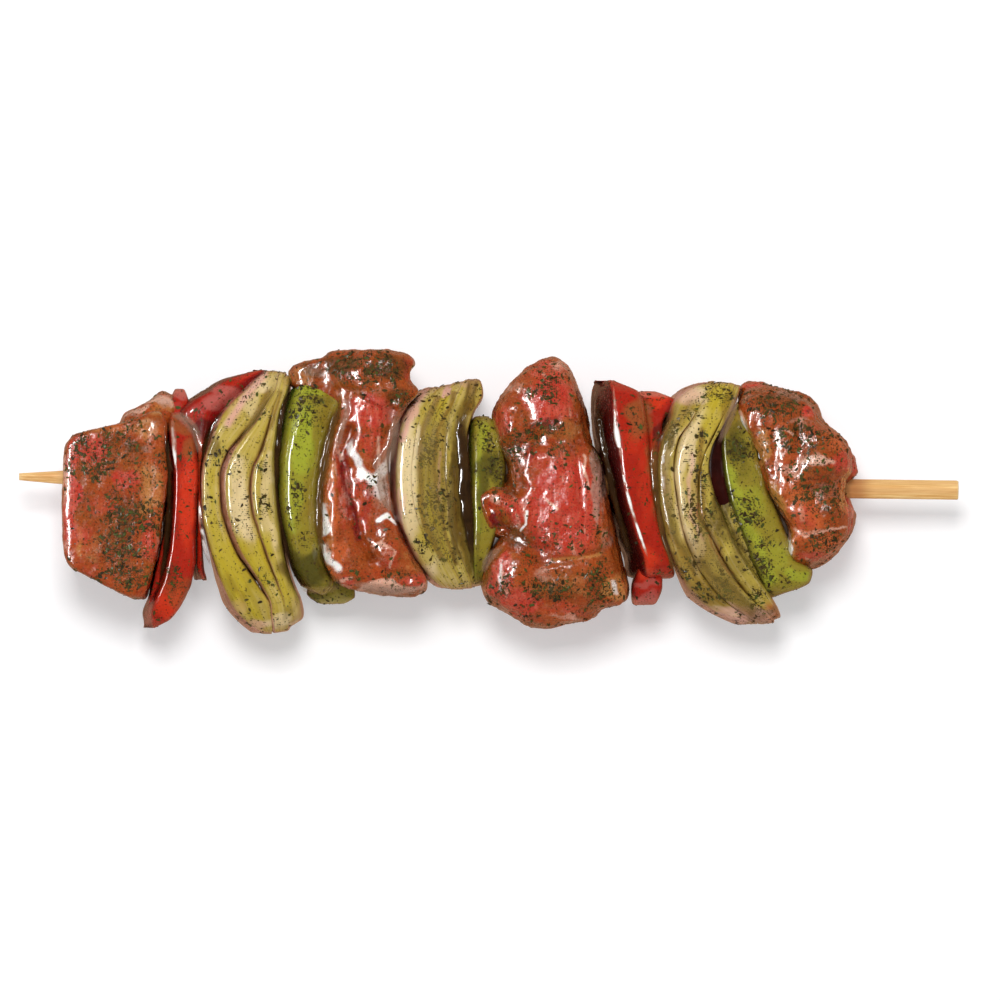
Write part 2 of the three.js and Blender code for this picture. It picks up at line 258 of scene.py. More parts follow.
def loft(shape, rows, cols):
    # rings between the west and the east side, each side run through from its lowest to its
    # highest mark, so that an end may slant. A pole closes each end, and each column of a ring
    # is stretched to the height of the roof above it
    s = {**loftDefaults, **shape}
    west, east = plan(s["west"]), plan(s["east"])
    westMarks, eastMarks = west[:, ::-1], east[:, ::-1]
    lowW, highW, lowE, highE = (m(side[:, 1]) for side in (west, east) for m in (np.min, np.max))
    low, high = (lowW + lowE) / 2, (highW + highE) / 2
    # rows are spaced by the length of the middle line, so the blunt ends get their share
    turn = np.linspace(-np.pi / 2, np.pi / 2, 2001)
    v = np.sign(np.sin(turn)) * np.abs(np.sin(turn)) ** (2 / s["bluntHigh"])
    cap = np.clip(np.cos(turn), 0, 1) ** (2 / s["bluntHigh"])
    y = low + (high - low) * (v + 1) / 2
    mid = (through(westMarks, np.clip(y, lowW, highW)) + through(eastMarks, np.clip(y, lowE, highE))) / 2
    tall = cap * (s["top"] - s["bottom"]) / 4
    step = np.sqrt(np.diff(y) ** 2 + np.diff(mid) ** 2 + np.diff(tall) ** 2)
    length = np.concatenate([[0], np.cumsum(step)])
    v = np.interp(np.linspace(0, length[-1], rows + 2)[1:-1], length, v)
    y0 = lowW + (highW - lowW) * (v + 1) / 2
    y1 = lowE + (highE - lowE) * (v + 1) / 2
    press = s["overlap"] + s["endOverlap"] * smooth(*s["pressed"], np.abs(v))
    x0, x1 = through(westMarks, y0) - press, through(eastMarks, y1) + press
    capWide = (1 - np.abs(v) ** s["bluntWide"]) ** (1 / s["bluntWide"])
    capHigh = (1 - np.abs(v) ** s["bluntHigh"]) ** (1 / s["bluntHigh"])
    halfHigh = (s["top"] - s["bottom"]) / 2
    across, up = sectionCurve(cols, np.median(x1 - x0) / 2, halfHigh, s["squareTop"], s["squareLow"])
    place = (across + 1) / 2
    roofAt, roofFall = np.array(s["roof"], float).T
    roof = sum(np.interp(place + shift, roofAt, roofFall) for shift in (-0.03, -0.01, 0.01, 0.03)) / 4
    v, y0, y1, x0, x1, capWide, capHigh = (a[:, None] for a in (v, y0, y1, x0, x1, capWide, capHigh))
    narrow = 1 - s["taper"] * (1 - up) / 2
    y = (y0 + y1) / 2 + across * capWide * (y1 - y0) / 2
    x = (x0 + x1) / 2 + across * narrow * capWide * (x1 - x0) / 2
    x = x + s["under"] * (1 - up) / 2 + (s["belly"] + s["bellyEnds"] * v ** 2) * (1 - up ** 2)
    ceiling = s["top"] - roof - s["drop"] * v ** 2
    z = s["bottom"] + (ceiling - s["bottom"]) * (1 + up * capHigh) / 2
    grid = np.stack([x, y, z], -1)
    first = grid[0].mean(0) * [1, 0, 1] + [0, low, 0]
    last = grid[-1].mean(0) * [1, 0, 1] + [0, high, 0]
    points = np.concatenate([[first], grid.reshape(-1, 3), [last]])
    flank = smooth(*s["flankTop"], up) * smooth(*s["flankEnd"], np.abs(v) + 0 * x)
    every = lambda a, b, c: np.concatenate([[b], (a * np.ones_like(x)).ravel(), [c]])
    marks = {"side": every(across, 0, 0), "along": every(v, -1, 1)}
    for name, inward, half in (("left", place, across < 0), ("right", 1 - place, across > 0)):
        share = s[name + "Face"]
        face = smooth(share + s["faceEdge"], share - s["faceEdge"], inward) if share else 0 * place
        marks[name] = every(np.maximum(face, half * flank), 0, 0)
    return points, marks


# shader helpers
def colour(hexText):
    # display colour to the linear one that sockets take
    rgb = np.array([int(hexText[i:i + 2], 16) for i in (1, 3, 5)]) / 255
    lin = np.where(rgb <= 0.04045, rgb / 12.92, ((rgb + 0.055) / 1.055) ** 2.4)
    return (*lin, 1.0)


def put(tree, socket, value):
    if isinstance(value, bpy.types.NodeSocket):
        tree.links.new(value, socket)
    else:
        socket.default_value = colour(value) if isinstance(value, str) else value


def add(tree, kind, props=None, **values):
    # a node with its properties and socket values set
    made = tree.nodes.new(kind)
    for key, value in (props or {}).items():
        setattr(made, key, value)
    for key, value in values.items():
        put(tree, made.inputs[key.replace("_", " ")], value)
    return made


def filled(tree, kind, props, values, output=0):
    # the same for a node whose sockets share their names, so that they go by number
    made = add(tree, kind, props)
    for index, value in values:
        put(tree, made.inputs[index], value)
    return made.outputs[output]


def mix(tree, factor, a, b):
    return filled(tree, "ShaderNodeMix", {"data_type": "RGBA"}, [(0, factor), (6, a), (7, b)], 2)


def maths(tree, operation, a, b=0.0):
    return filled(tree, "ShaderNodeMath", {"operation": operation}, [(0, a), (1, b)])


def times(tree, a, b):
    return maths(tree, "MULTIPLY", a, b)


def plus(tree, a, b):
    return maths(tree, "ADD", a, b)


def mask(tree, name):
    return add(tree, "ShaderNodeAttribute", {"attribute_name": name}).outputs["Fac"]


def ramp(tree, value, low, high, a=0.0, b=1.0):
    return filled(tree, "ShaderNodeMapRange", {"interpolation_type": "SMOOTHSTEP"},
                  enumerate((value, low, high, a, b)))


def objectPlace(tree):
    return add(tree, "ShaderNodeTexCoord").outputs["Object"]


def grain(tree, vector, scale, detail=4.0, rough=0.55):
    return add(tree, "ShaderNodeTexNoise", Vector=vector, Scale=scale, Detail=detail,
               Roughness=rough).outputs["Fac"]


def newGroup(name, inputs, output):
    group = bpy.data.node_groups.new(name, "ShaderNodeTree")
    for label, value in inputs.items():
        made = group.interface.new_socket(label, in_out="INPUT", socket_type="NodeSocketFloat")
        made.default_value = value
    group.interface.new_socket(output, in_out="OUTPUT", socket_type="NodeSocketFloat")
    return group, group.nodes.new("NodeGroupInput").outputs, group.nodes.new("NodeGroupOutput").inputs[0]


def makeFlecks():
    # dark flecks of herb dust: small Voronoi cells, some of them kept, more where Amount is high
    group, given, out = newGroup("herbDust", {"Scale": 900.0, "Amount": 0.3}, "Mask")
    place = objectPlace(group)
    wobble = add(group, "ShaderNodeTexNoise", Vector=place, Scale=1500.0, Detail=1.0).outputs["Color"]
    sockets = [(0, 0.0006), (4, place), (5, wobble)]
    shaken = filled(group, "ShaderNodeMix", {"data_type": "VECTOR"}, sockets, 1)
    cells = add(group, "ShaderNodeTexVoronoi", Vector=shaken, Scale=given["Scale"]).outputs
    chance = add(group, "ShaderNodeSeparateColor", Color=cells["Color"]).outputs[0]
    kept = maths(group, "LESS_THAN", chance, given["Amount"])
    put(group, out, times(group, kept, ramp(group, cells["Distance"], 0.42, 0.28)))
    return group


def makeMottle():
    # soft patchy value from two sizes of noise
    group, given, out = newGroup("mottle", {"Scale": 200.0, "Sharp": 0.5}, "Value")
    place = objectPlace(group)
    wide = grain(group, place, given["Scale"], 3.0)
    fine = grain(group, place, times(group, given["Scale"], 4.3), 3.0)
    both = plus(group, times(group, wide, 0.68), times(group, fine, 0.32))
    spread = times(group, given["Sharp"], 0.3)
    put(group, out, ramp(group, both, maths(group, "SUBTRACT", 0.5, spread), plus(group, 0.5, spread)))
    return group


fleckGroup = makeFlecks()
mottleGroup = makeMottle()


def flecks(tree, scale, amount):
    return add(tree, "ShaderNodeGroup", {"node_tree": fleckGroup}, Scale=scale, Amount=amount).outputs[0]


def mottle(tree, scale, sharp=0.5):
    return add(tree, "ShaderNodeGroup", {"node_tree": mottleGroup}, Scale=scale, Sharp=sharp).outputs[0]


def over(tree, base, look, rows):
    # painted masks laid over the base in turn, each (mask, where it starts, where it is full, the most)
    for kind, low, high, most in rows:
        base = mix(tree, times(tree, ramp(tree, mask(tree, kind), low, high), most), base, look[kind])
    return base


def dusted(tree, base, look, least, most):
    # the stain broken up by fine patches, the way dust and sauce gather, and flecks all over
    stain = mask(tree, "stain")
    patches = ramp(tree, mottle(tree, 900.0, 1.2), 0.0, 1.0, 0.2, 0.8)
    base = mix(tree, times(tree, ramp(tree, stain, 0.1, 0.9), patches), base, look["stain"])
    crowd = plus(tree, times(tree, stain, 0.4), least)
    return mix(tree, times(tree, flecks(tree, 2300.0, crowd), most), base, look["dust"])


def newMaterial(name, base, rough, coat=1.0, coatRough=0.07, **values):
    material = bpy.data.materials.new(name)
    material.use_nodes = True
    tree = material.node_tree
    shader = tree.nodes["Principled BSDF"]
    values = {"Base Color": base, "Roughness": rough, "Coat Weight": coat, "Coat Roughness": coatRough,
              "Coat IOR": 1.42, **{key.replace("_", " "): value for key, value in values.items()}}
    for key, value in values.items():
        put(tree, shader.inputs[key], value)
    return material, tree, shader


def bumpInto(tree, shader, height, strength, distance):
    made = add(tree, "ShaderNodeBump", Strength=strength, Distance=distance, Height=height)
    put(tree, shader.inputs["Normal"], made.outputs[0])


# materials
beefLook = {
    "crust": "#944010", "crustRed": "#B02C18", "crustBright": "#BC5C20", "olive": "#5A4010",
    "lean": "#BE3224", "leanPale": "#D66E58", "deep": "#781414", "tan": "#C08242", "warm": "#C25A2A",
    "fat": "#E0AC94", "film": "#B08A78", "stain": "#38300E", "under": "#C04E40", "dust": "#2C1E0A",
    "grainDark": "#481408", "grainPale": "#E09058", "milk": "#FFFAF4",
    # patches in the crust: (colour, size as a noise scale, sharpness, the most)
    "patches": [("crustRed", 190.0, 1.0, 1.0), ("crustBright", 330.0, 1.1, 0.6), ("olive", 130.0, 1.0, 0.5)],
    # what lies over the crust in turn: (mask, where it starts, where it is full, the most)
    "layers": [("warm", 0.15, 0.9, 0.85), ("tan", 0.15, 0.9, 0.75), ("bare", 0.15, 0.95, 0.9),
               ("deep", 0.25, 0.9, 1.0), ("fat", 0.25, 0.85, 1.0), ("under", 0.3, 0.8, 1.0),
               ("film", 0.25, 0.9, 0.75)],
}


def beefMaterial():
    # marinade crust in patches, and the lean meat's fibres and veins where it is bare
    look = beefLook
    material, tree, shader = newMaterial(
        "beefMarinated", look["crust"], 0.34, coat=1.0, coatRough=0.055,
        Subsurface_Weight=0.12, Subsurface_Scale=0.0016, Subsurface_Radius=(1.0, 0.3, 0.18),
        Specular_IOR_Level=0.5)
    place = objectPlace(tree)
    small = mottle(tree, 560.0, 0.9)
    base = look["crust"]
    for kind, scale, sharp, most in look["patches"]:
        base = mix(tree, times(tree, mottle(tree, scale, sharp), most), base, look[kind])
    stretched = add(tree, "ShaderNodeMapping", Vector=place, Scale=(1.0, 0.22, 1.0), Rotation=(0, 0, 0.35))
    fibre = grain(tree, stretched.outputs[0], 900.0, 5.0, 0.6)
    vein = grain(tree, stretched.outputs[0], 300.0, 3.0, 0.5)
    lean = mix(tree, times(tree, ramp(tree, fibre, 0.42, 0.72), 0.6), look["lean"], look["leanPale"])
    lean = mix(tree, times(tree, ramp(tree, vein, 0.655, 0.69), 0.5), lean, look["fat"])
    tints = {**look, "bare": lean}
    rag = times(tree, maths(tree, "SUBTRACT", small, 0.5), 0.4)
    for kind, low, high, most in look["layers"]:
        ragged = ramp(tree, plus(tree, mask(tree, kind), rag), low, high)
        base = mix(tree, times(tree, ragged, most), base, tints[kind])
    # painted highlight: near-white glare where the wet marinade would mirror the lights
    paintedGlare = plus(tree, mask(tree, "milk"), times(tree, rag, 0.7))
    base = mix(tree, ramp(tree, paintedGlare, 0.15, 0.8), base, look["milk"])
    speck = grain(tree, place, 2300.0, 3.0, 0.6)
    base = mix(tree, ramp(tree, speck, 0.52, 0.75, 0.0, 0.3), base, look["grainDark"])
    base = mix(tree, ramp(tree, speck, 0.48, 0.28, 0.0, 0.22), base, look["grainPale"])
    put(tree, shader.inputs["Base Color"], dusted(tree, base, look, 0.2, 0.65))
    put(tree, shader.inputs["Roughness"], ramp(tree, small, 0.0, 1.0, 0.16, 0.34))
    height = plus(tree, fibre, times(tree, grain(tree, place, 1100.0, 3.0), 1.4))
    bumpInto(tree, shader, height, 0.4, 0.0003)
    return material


redLook = {
    # left and right are darker skin for the sides, as painted shade
    "top": "#AE2411", "topTwo": "#A02010", "bright": "#CC3619", "left": "#520A0C", "right": "#8A1010",
    "cut": "#C4604C", "glaze": "#8F562A", "stain": "#3A2C0E", "shade": "#50100E", "dust": "#2E140C",
    "veil": "#B25A50", "glow": (1.0, 0.12, 0.08),
}
greenLook = {
    # left and right are darker skin for the sides, as painted shade
    "top": "#94862A", "topTwo": "#887828", "bright": "#A0A630", "left": "#465A18", "right": "#6E5C22",
    "cut": "#A8A050", "glaze": "#8A6A22", "stain": "#38320E", "shade": "#464016", "dust": "#302C0C",
    "veil": "#A8986C", "glow": (0.5, 1.0, 0.12),
}
# cut flesh, glaze and veil, and last the painted shade
pepperLayers = [("cut", 0.2, 0.8, 1.0), ("glaze", 0.1, 1.0, 0.7), ("veil", 0.1, 1.0, 0.85),
                ("shade", 0.1, 1.0, 0.85)]


def pepperMaterial(name, look):
    # skin on the top face, the sides and the top's left edge darker as painted shade, pale wet flesh where
    # the wall is cut across
    material, tree, shader = newMaterial(
        name, look["top"], 0.24, coat=1.0, coatRough=0.045, Specular_IOR_Level=0.2,
        Subsurface_Weight=0.12, Subsurface_Scale=0.0016, Subsurface_Radius=look["glow"])
    small = mottle(tree, 700.0, 0.7)
    base = mix(tree, mottle(tree, 170.0, 1.0), look["top"], look["topTwo"])
    # painted shade: darker skin on both sides and towards the top's left edge
    base = over(tree, base, {**look, "side": look["left"]},
                [("bright", 0.1, 1.0, 0.9), ("side", -0.5, -0.98, 0.75)])
    for kind in ("left", "right"):
        base = mix(tree, mask(tree, kind), base, look[kind])
    base = over(tree, base, look, pepperLayers)
    put(tree, shader.inputs["Base Color"], dusted(tree, base, look, 0.14, 0.6))
    put(tree, shader.inputs["Roughness"], ramp(tree, small, 0.0, 1.0, 0.18, 0.34))
    # less gloss at the rim, where it would only mirror the floor
    facing = add(tree, "ShaderNodeLayerWeight", Blend=0.5).outputs["Facing"]
    put(tree, shader.inputs["Coat Weight"], ramp(tree, facing, 0.5, 0.85, 1.0, 0.12))
    bumpInto(tree, shader, grain(tree, objectPlace(tree), 1500.0, 3.0), 0.12, 0.0003)
    return material


onionLook = {
    "cut": "#C6AE54", "cutDark": "#B29C3E", "cream": "#E6CE9C", "line": "#9C6234", "skin": "#8E4C3A",
    "skinPale": "#D09480", "inner": "#A45430", "stain": "#463A14", "glaze": "#7E5A20", "pink": "#DAA494",
    "dust": "#3E3414", "yellow": "#B6A026", "shade": "#5A4418",
}
# pink skin, glaze, and last the painted shade
onionLayers = [("pink", 0.15, 1.0, 1.0), ("glaze", 0.1, 1.0, 0.75), ("shade", 0.1, 1.0, 0.85)]


def onionMaterial():
    # faint lines along the layer over soft patches, reddish towards the seams
    look = onionLook
    material, tree, shader = newMaterial(
        "onionGlazed", look["cut"], 0.28, coat=1.0, coatRough=0.05, Specular_IOR_Level=0.2,
        Subsurface_Weight=0.2, Subsurface_Scale=0.0026, Subsurface_Radius=(1.0, 0.8, 0.4))
    side, along = mask(tree, "side"), mask(tree, "along")
    lines = add(tree, "ShaderNodeCombineXYZ", X=times(tree, side, 1.5), Y=times(tree, along, 0.7),
                Z=mask(tree, "shift"))
    lines = grain(tree, lines.outputs[0], 1.9, 2.0, 0.45)
    cut = mix(tree, mottle(tree, 170.0, 1.0), look["cut"], look["cutDark"])
    cut = over(tree, cut, look, [("cream", 0.1, 1.0, 0.9)])
    cut = mix(tree, times(tree, ramp(tree, lines, 0.48, 0.72), 0.3), cut, look["cream"])
    cut = mix(tree, times(tree, ramp(tree, lines, 0.44, 0.26), 0.22), cut, look["glaze"])
    cut = mix(tree, times(tree, mottle(tree, 230.0, 0.9), 0.22), cut, look["glaze"])
    cut = over(tree, cut, look, [("yellow", 0.1, 1.0, 0.85)])
    edge = times(tree, ramp(tree, maths(tree, "ABSOLUTE", side), 0.84, 0.99), 0.5)
    cut = mix(tree, edge, cut, look["line"])
    skin = mix(tree, mottle(tree, 300.0, 0.9), look["skin"], look["skinPale"])
    base = mix(tree, mask(tree, "left"), cut, skin)
    base = mix(tree, mask(tree, "right"), base, look["inner"])
    base = over(tree, base, look, onionLayers)
    put(tree, shader.inputs["Base Color"], dusted(tree, base, look, 0.16, 0.6))
    put(tree, shader.inputs["Roughness"], ramp(tree, lines, 0.3, 0.7, 0.2, 0.34))
    bumpInto(tree, shader, lines, 0.06, 0.0005)
    return material


bambooLook = {
    "plain": "#EEC088", "dark": "#D89E52", "pale": "#F8D28E", "broad": "#E8B070", "oiled": "#B4703A",
    "endGrain": "#E8D2A4",
}


def bambooMaterial():
    # long fibres in two widths, darker where the marinade has soaked in
    look = bambooLook
    material, tree, shader = newMaterial("bambooBare", look["plain"], 0.55, coat=0.0, coatRough=0.3)
    long = add(tree, "ShaderNodeMapping", Vector=objectPlace(tree), Scale=(0.03, 1.0, 1.0)).outputs[0]
    fibre = grain(tree, long, 2600.0, 5.0, 0.7)
    broad = grain(tree, long, 700.0, 3.0, 0.5)
    wood = mix(tree, ramp(tree, fibre, 0.36, 0.66), look["dark"], look["pale"])
    wood = mix(tree, times(tree, ramp(tree, broad, 0.4, 0.65), 0.5), wood, look["broad"])
    wood = over(tree, wood, look, [("oiled", 0.1, 1.0, 0.75)])
    wood = mix(tree, times(tree, mask(tree, "endGrain"), 0.6), wood, look["endGrain"])
    put(tree, shader.inputs["Base Color"], wood)
    bumpInto(tree, shader, fibre, 0.4, 0.0002)
    return material


gelLooks = {
    # two tints, how much it covers, and how wet it looks
    "marinadeClear": {"tints": ("#5E421C", "#7E5A2C"), "cover": 0.66, "coat": 1.0},
    # marinade in the gaps, nearly black and opaque as painted shade
    "marinadePaintedShade": {"tints": ("#24160A", "#40280F"), "cover": 0.95, "coat": 1.0},
    # a dark red sheet in the gap between the third onion and the last green pepper, as painted shade
    "marinadeDeepPaintedShade": {"tints": ("#240B08", "#3E1410"), "cover": 1.0, "coat": 0.25},
    "marinadeCloudy": {"tints": ("#94745C", "#B4907C"), "cover": 0.5, "coat": 1.0},
    "marinadeGlaze": {"tints": ("#86702E", "#A88E4E"), "cover": 0.45, "coat": 1.0},
    # painted highlight: near-white strips for the lights mirrored in the wet glaze
    "paintedHighlightGel": {"tints": ("#FFFDF8", "#D8AC94"), "cover": 1.0, "coat": 0.8},
}


def gelMaterial(name):
    # a wet film whose cover comes from how deep it lies
    look = gelLooks[name]
    material, tree, shader = newMaterial(
        name, look["tints"][0], 0.2, coat=look["coat"], coatRough=0.06, Specular_IOR_Level=0.2)
    highlightGel = name == "paintedHighlightGel"
    patches = ramp(tree, mask(tree, "core"), 0.8, 0.35) if highlightGel else mottle(tree, 260.0, 1.0)
    put(tree, shader.inputs["Base Color"], mix(tree, patches, *look["tints"]))
    uneven = ramp(tree, mottle(tree, 420.0, 1.0), 0.0, 1.0, look["cover"] ** 1.7, look["cover"])
    put(tree, shader.inputs["Alpha"], times(tree, mask(tree, "core"), uneven))
    return material


herbLook = {"plain": "#2C240C", "dark": "#2E2510", "brown": "#4A3B18", "green": "#4A5020"}


def herbMaterial():
    # each flake has one tone between dark and brown, and some are green
    look = herbLook
    material, tree, shader = newMaterial("herbFlakes", look["plain"], 0.6, coat=0.25, coatRough=0.2,
                                         Specular_IOR_Level=0.1)
    tone = mask(tree, "tone")
    base = mix(tree, ramp(tree, tone, 0.0, 0.5), look["dark"], look["brown"])
    base = mix(tree, ramp(tree, tone, 0.65, 0.9), base, look["green"])
    put(tree, shader.inputs["Base Color"], base)
    bumpInto(tree, shader, grain(tree, objectPlace(tree), 5000.0, 2.0), 0.5, 0.0002)
    return material


materials = {
    "beef": beefMaterial(),
    "red_pepper": pepperMaterial("redPepperSkin", redLook),
    "green_pepper": pepperMaterial("greenPepperSkin", greenLook),
    "onion": onionMaterial(),
    "bamboo": bambooMaterial(),
    **{name: gelMaterial(name) for name in gelLooks},
    "herbs": herbMaterial(),
}
print("materials made")


# finishing a piece
herbGround = []                       # (piece, density) for the flakes


def ownName(node):
    first, *rest = node.split("_")
    return first + "".join(word.capitalize() for word in rest)


def finishPiece(piece, node, slot, herbs=1.0):
    piece.data.materials.append(materials[slot])
    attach(piece, "root")
    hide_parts(node)
    herbGround.append((piece, herbs))


# marinade stains and glaze over the whole kebab, with painted shade between them: (px, py, half width, half
# height, strength)
stainSpots = [
    (128, 520, 16, 26, 0.6), (112, 442, 14, 8, 0.5), (135, 448, 12, 10, 0.6), (120, 420, 18, 5, 0.4),
    (388, 370, 22, 14, 1.0), (342, 366, 24, 12, 1.0), (310, 372, 14, 10, 0.7), (398, 396, 14, 12, 0.8),
    (388, 420, 8, 26, 0.5), (452, 440, 8, 60, 0.5), (500, 468, 12, 22, 0.9), (515, 538, 24, 8, 0.8),
    (506, 492, 10, 8, 0.6), (590, 400, 8, 30, 0.7), (596, 440, 7, 34, 0.6), (488, 570, 6, 20, 0.5),
    (492, 604, 10, 10, 0.7), (735, 448, 14, 18, 0.9), (718, 515, 12, 34, 0.8), (752, 575, 18, 26, 0.4),
    (775, 400, 26, 9, 0.7), (818, 440, 14, 10, 0.35), (545, 592, 24, 12, 0.45), (600, 585, 16, 12, 0.4),
    (172, 580, 14, 20, 0.55), (300, 575, 20, 12, 0.3), (264, 470, 10, 8, 0.4), (322, 402, 10, 8, 0.5),
    (722, 398, 10, 8, 0.4), (545, 390, 14, 8, 0.4), (540, 425, 12, 6, 0.4), (430, 450, 14, 20, 0.3),
    (740, 470, 8, 12, 0.5), (110, 555, 26, 14, 0.3), (780, 440, 16, 12, 0.35), (845, 515, 8, 16, 0.3),
]
# painted shade: darker patches on the low ends, the sides and the gaps between slices
shadeSpots = [
    (306, 566, 26, 22, 1.0), (284, 545, 10, 24, 0.5), (484, 480, 10, 30, 0.8), (480, 530, 9, 30, 0.5),
    (458, 500, 9, 76, 0.95), (444, 480, 8, 60, 0.45), (440, 580, 20, 10, 0.2), (722, 508, 10, 36, 0.55),
    (735, 560, 14, 30, 0.6), (666, 428, 10, 22, 0.75), (722, 600, 36, 12, 0.35), (762, 614, 14, 8, 0.6),
    (292, 608, 12, 14, 0.5), (204, 424, 14, 14, 0.95), (200, 500, 4, 50, 0.5), (470, 398, 10, 10, 0.35),
    (640, 572, 8, 8, 0.4), (735, 438, 12, 16, 0.6), (212, 440, 8, 20, 0.7), (262, 590, 8, 30, 0.35),
    (238, 600, 12, 14, 0.4), (748, 545, 8, 20, 0.4),
]
glazeSpots = [
    (330, 480, 10, 60, 0.7), (205, 470, 5, 60, 0.5), (190, 448, 8, 16, 0.9), (182, 424, 16, 10, 0.9),
    (326, 420, 7, 30, 0.5), (440, 470, 14, 70, 0.6), (462, 500, 12, 70, 0.75), (655, 470, 8, 50, 0.7),
    (690, 560, 20, 30, 0.7), (715, 590, 36, 20, 0.8), (730, 410, 12, 26, 0.7), (750, 500, 12, 30, 0.3),
    (180, 590, 14, 20, 0.6), (637, 418, 13, 26, 0.95), (640, 480, 8, 40, 0.2), (660, 560, 12, 12, 0.2),
    (425, 540, 16, 40, 0.4), (250, 560, 8, 40, 0.35), (312, 520, 14, 20, 0.6), (712, 540, 16, 30, 0.6),
]

# slices, each with its west and east side as pixel marks and sizes in mm
redSlices = {
    "red_pepper_sliver": {
        "west": [(147, 613), (153, 588), (161, 556), (166, 520), (168, 480), (168, 440), (168, 412),
            (171, 396), (174, 389)],
        "east": [(153, 613), (161, 588), (167, 556), (172, 520), (173, 480), (174, 440), (182, 412),
            (188, 402), (184, 389)],
        "bottom": 3, "top": 25, "under": -1.0, "drop": 1.0, "endCut": 1.0,
    },
    "red_pepper_1": {
        "west": [(154, 628), (150, 614), (155, 597), (162, 578), (168, 550), (171, 520), (172, 490),
            (171, 462), (167, 440), (166, 425), (170, 412)],
        "east": [(158, 628), (174, 619), (187, 601), (195, 582), (199, 555), (199, 520), (200, 480),
            (199, 455), (195, 434), (188, 420), (180, 412)],
        "bottom": 2, "top": 31, "under": -2.4, "drop": 2.5,
        "roof": [(0, 5), (0.12, 0.5), (0.2, 0), (0.85, 0.4), (1, 1.6)], "leftFace": 0.08,
    },
    "red_pepper_2": {
        "west": [(200, 580), (198, 565), (198, 500), (197, 455), (191, 432), (179, 413), (190, 400),
            (207, 390), (222, 380), (244, 374), (258, 370)],
        "east": [(211, 580), (206, 567), (204, 520), (203, 480), (206, 450), (214, 432), (224, 418),
            (237, 402), (249, 389), (260, 377), (265, 370)],
        "bottom": 3, "top": 28, "under": -2.0, "drop": 1.5,
        "roof": [(0, 1.5), (0.1, 0.6), (0.6, 0), (1, 4)], "rightFace": 0.4,
    },
    "red_pepper_3": {
        "west": [(632, 578), (633, 560), (628, 545), (620, 520), (612, 490), (606, 460), (600, 430),
            (597, 405), (598, 390), (603, 381)],
        "east": [(681, 578), (676, 566), (667, 545), (660, 520), (655, 490), (651, 460), (648, 430),
            (645, 410), (640, 393), (613, 381)],
        "bottom": 3, "top": 34, "under": -3.0, "drop": 1.5,
        "roof": [(0, 10), (0.2, 2.0), (0.26, 0.9), (0.32, 0.3), (0.4, 0), (0.9, 1.6), (1, 3)],
        "leftFace": 0.3,
    },
    "red_pepper_4": {
        "west": [(634, 605), (633, 590), (640, 560), (645, 500), (645, 440), (640, 405), (636, 391)],
        "east": [(658, 605), (664, 586), (664, 560), (662, 500), (662, 425), (675, 401), (655, 391)],
        "bottom": 2.5, "top": 27, "under": -0.6, "drop": 0.8, "bluntWide": 14, "endCut": 1.0,
    },
}
greenSlices = {
    "green_pepper_1": {
        "west": [(318, 594), (300, 584), (290, 562), (282, 530), (276, 495), (275, 460), (279, 430),
            (284, 400), (296, 379)],
        "east": [(328, 594), (336, 584), (326, 560), (322, 530), (320, 500), (325, 455), (333, 425),
            (343, 404), (334, 390), (314, 379)],
        "bottom": 2.5, "top": 33.5, "under": 0.3, "drop": 2.6, "leftFace": 0.1,
        "roof": [(0, 6.4), (0.1, 2.6), (0.2, 0.9), (0.34, 0), (0.7, 0.9), (0.9, 2.4), (1, 4.5)],
    },
    "green_pepper_2": {
        "west": [(316, 604), (306, 594), (314, 575), (326, 540), (330, 500), (331, 440)],
        "east": [(350, 604), (358, 597), (356, 586), (347, 555), (345, 500), (344, 440)],
        "bottom": 3, "top": 19.5, "drop": 1.0, "endCut": 0.6,
    },
    "green_pepper_3": {
        "west": [(475, 584), (472, 560), (470, 520), (467, 480), (466, 445), (467, 425), (470, 416)],
        "east": [(483, 584), (488, 560), (497, 530), (502, 500), (505, 470), (502, 445), (498, 425),
            (488, 416)],
        "bottom": 2.5, "top": 31, "under": 0.4, "drop": 2.0,
        "roof": [(0, 4), (0.17, 0.4), (0.26, 0), (1, 1.4)], "leftFace": 0.08,
    },
    "green_pepper_4": {
        "west": [(767, 598), (752, 568), (738, 533), (726, 498), (720, 465), (718, 440), (725, 416),
            (738, 399)],
        "east": [(771, 598), (811, 581), (813, 571), (796, 560), (789, 540), (779, 515), (766, 488),
            (760, 465), (755, 440), (748, 420), (744, 399)],
        "bottom": 2, "top": 31, "under": 0.3, "drop": 2.5,
        "roof": [(0, 4), (0.07, 0.4), (0.12, 0), (0.8, 1.4), (1, 2.2)], "leftFace": 0.05, "bluntWide": 24,
        "bluntHigh": 6,
    },
}
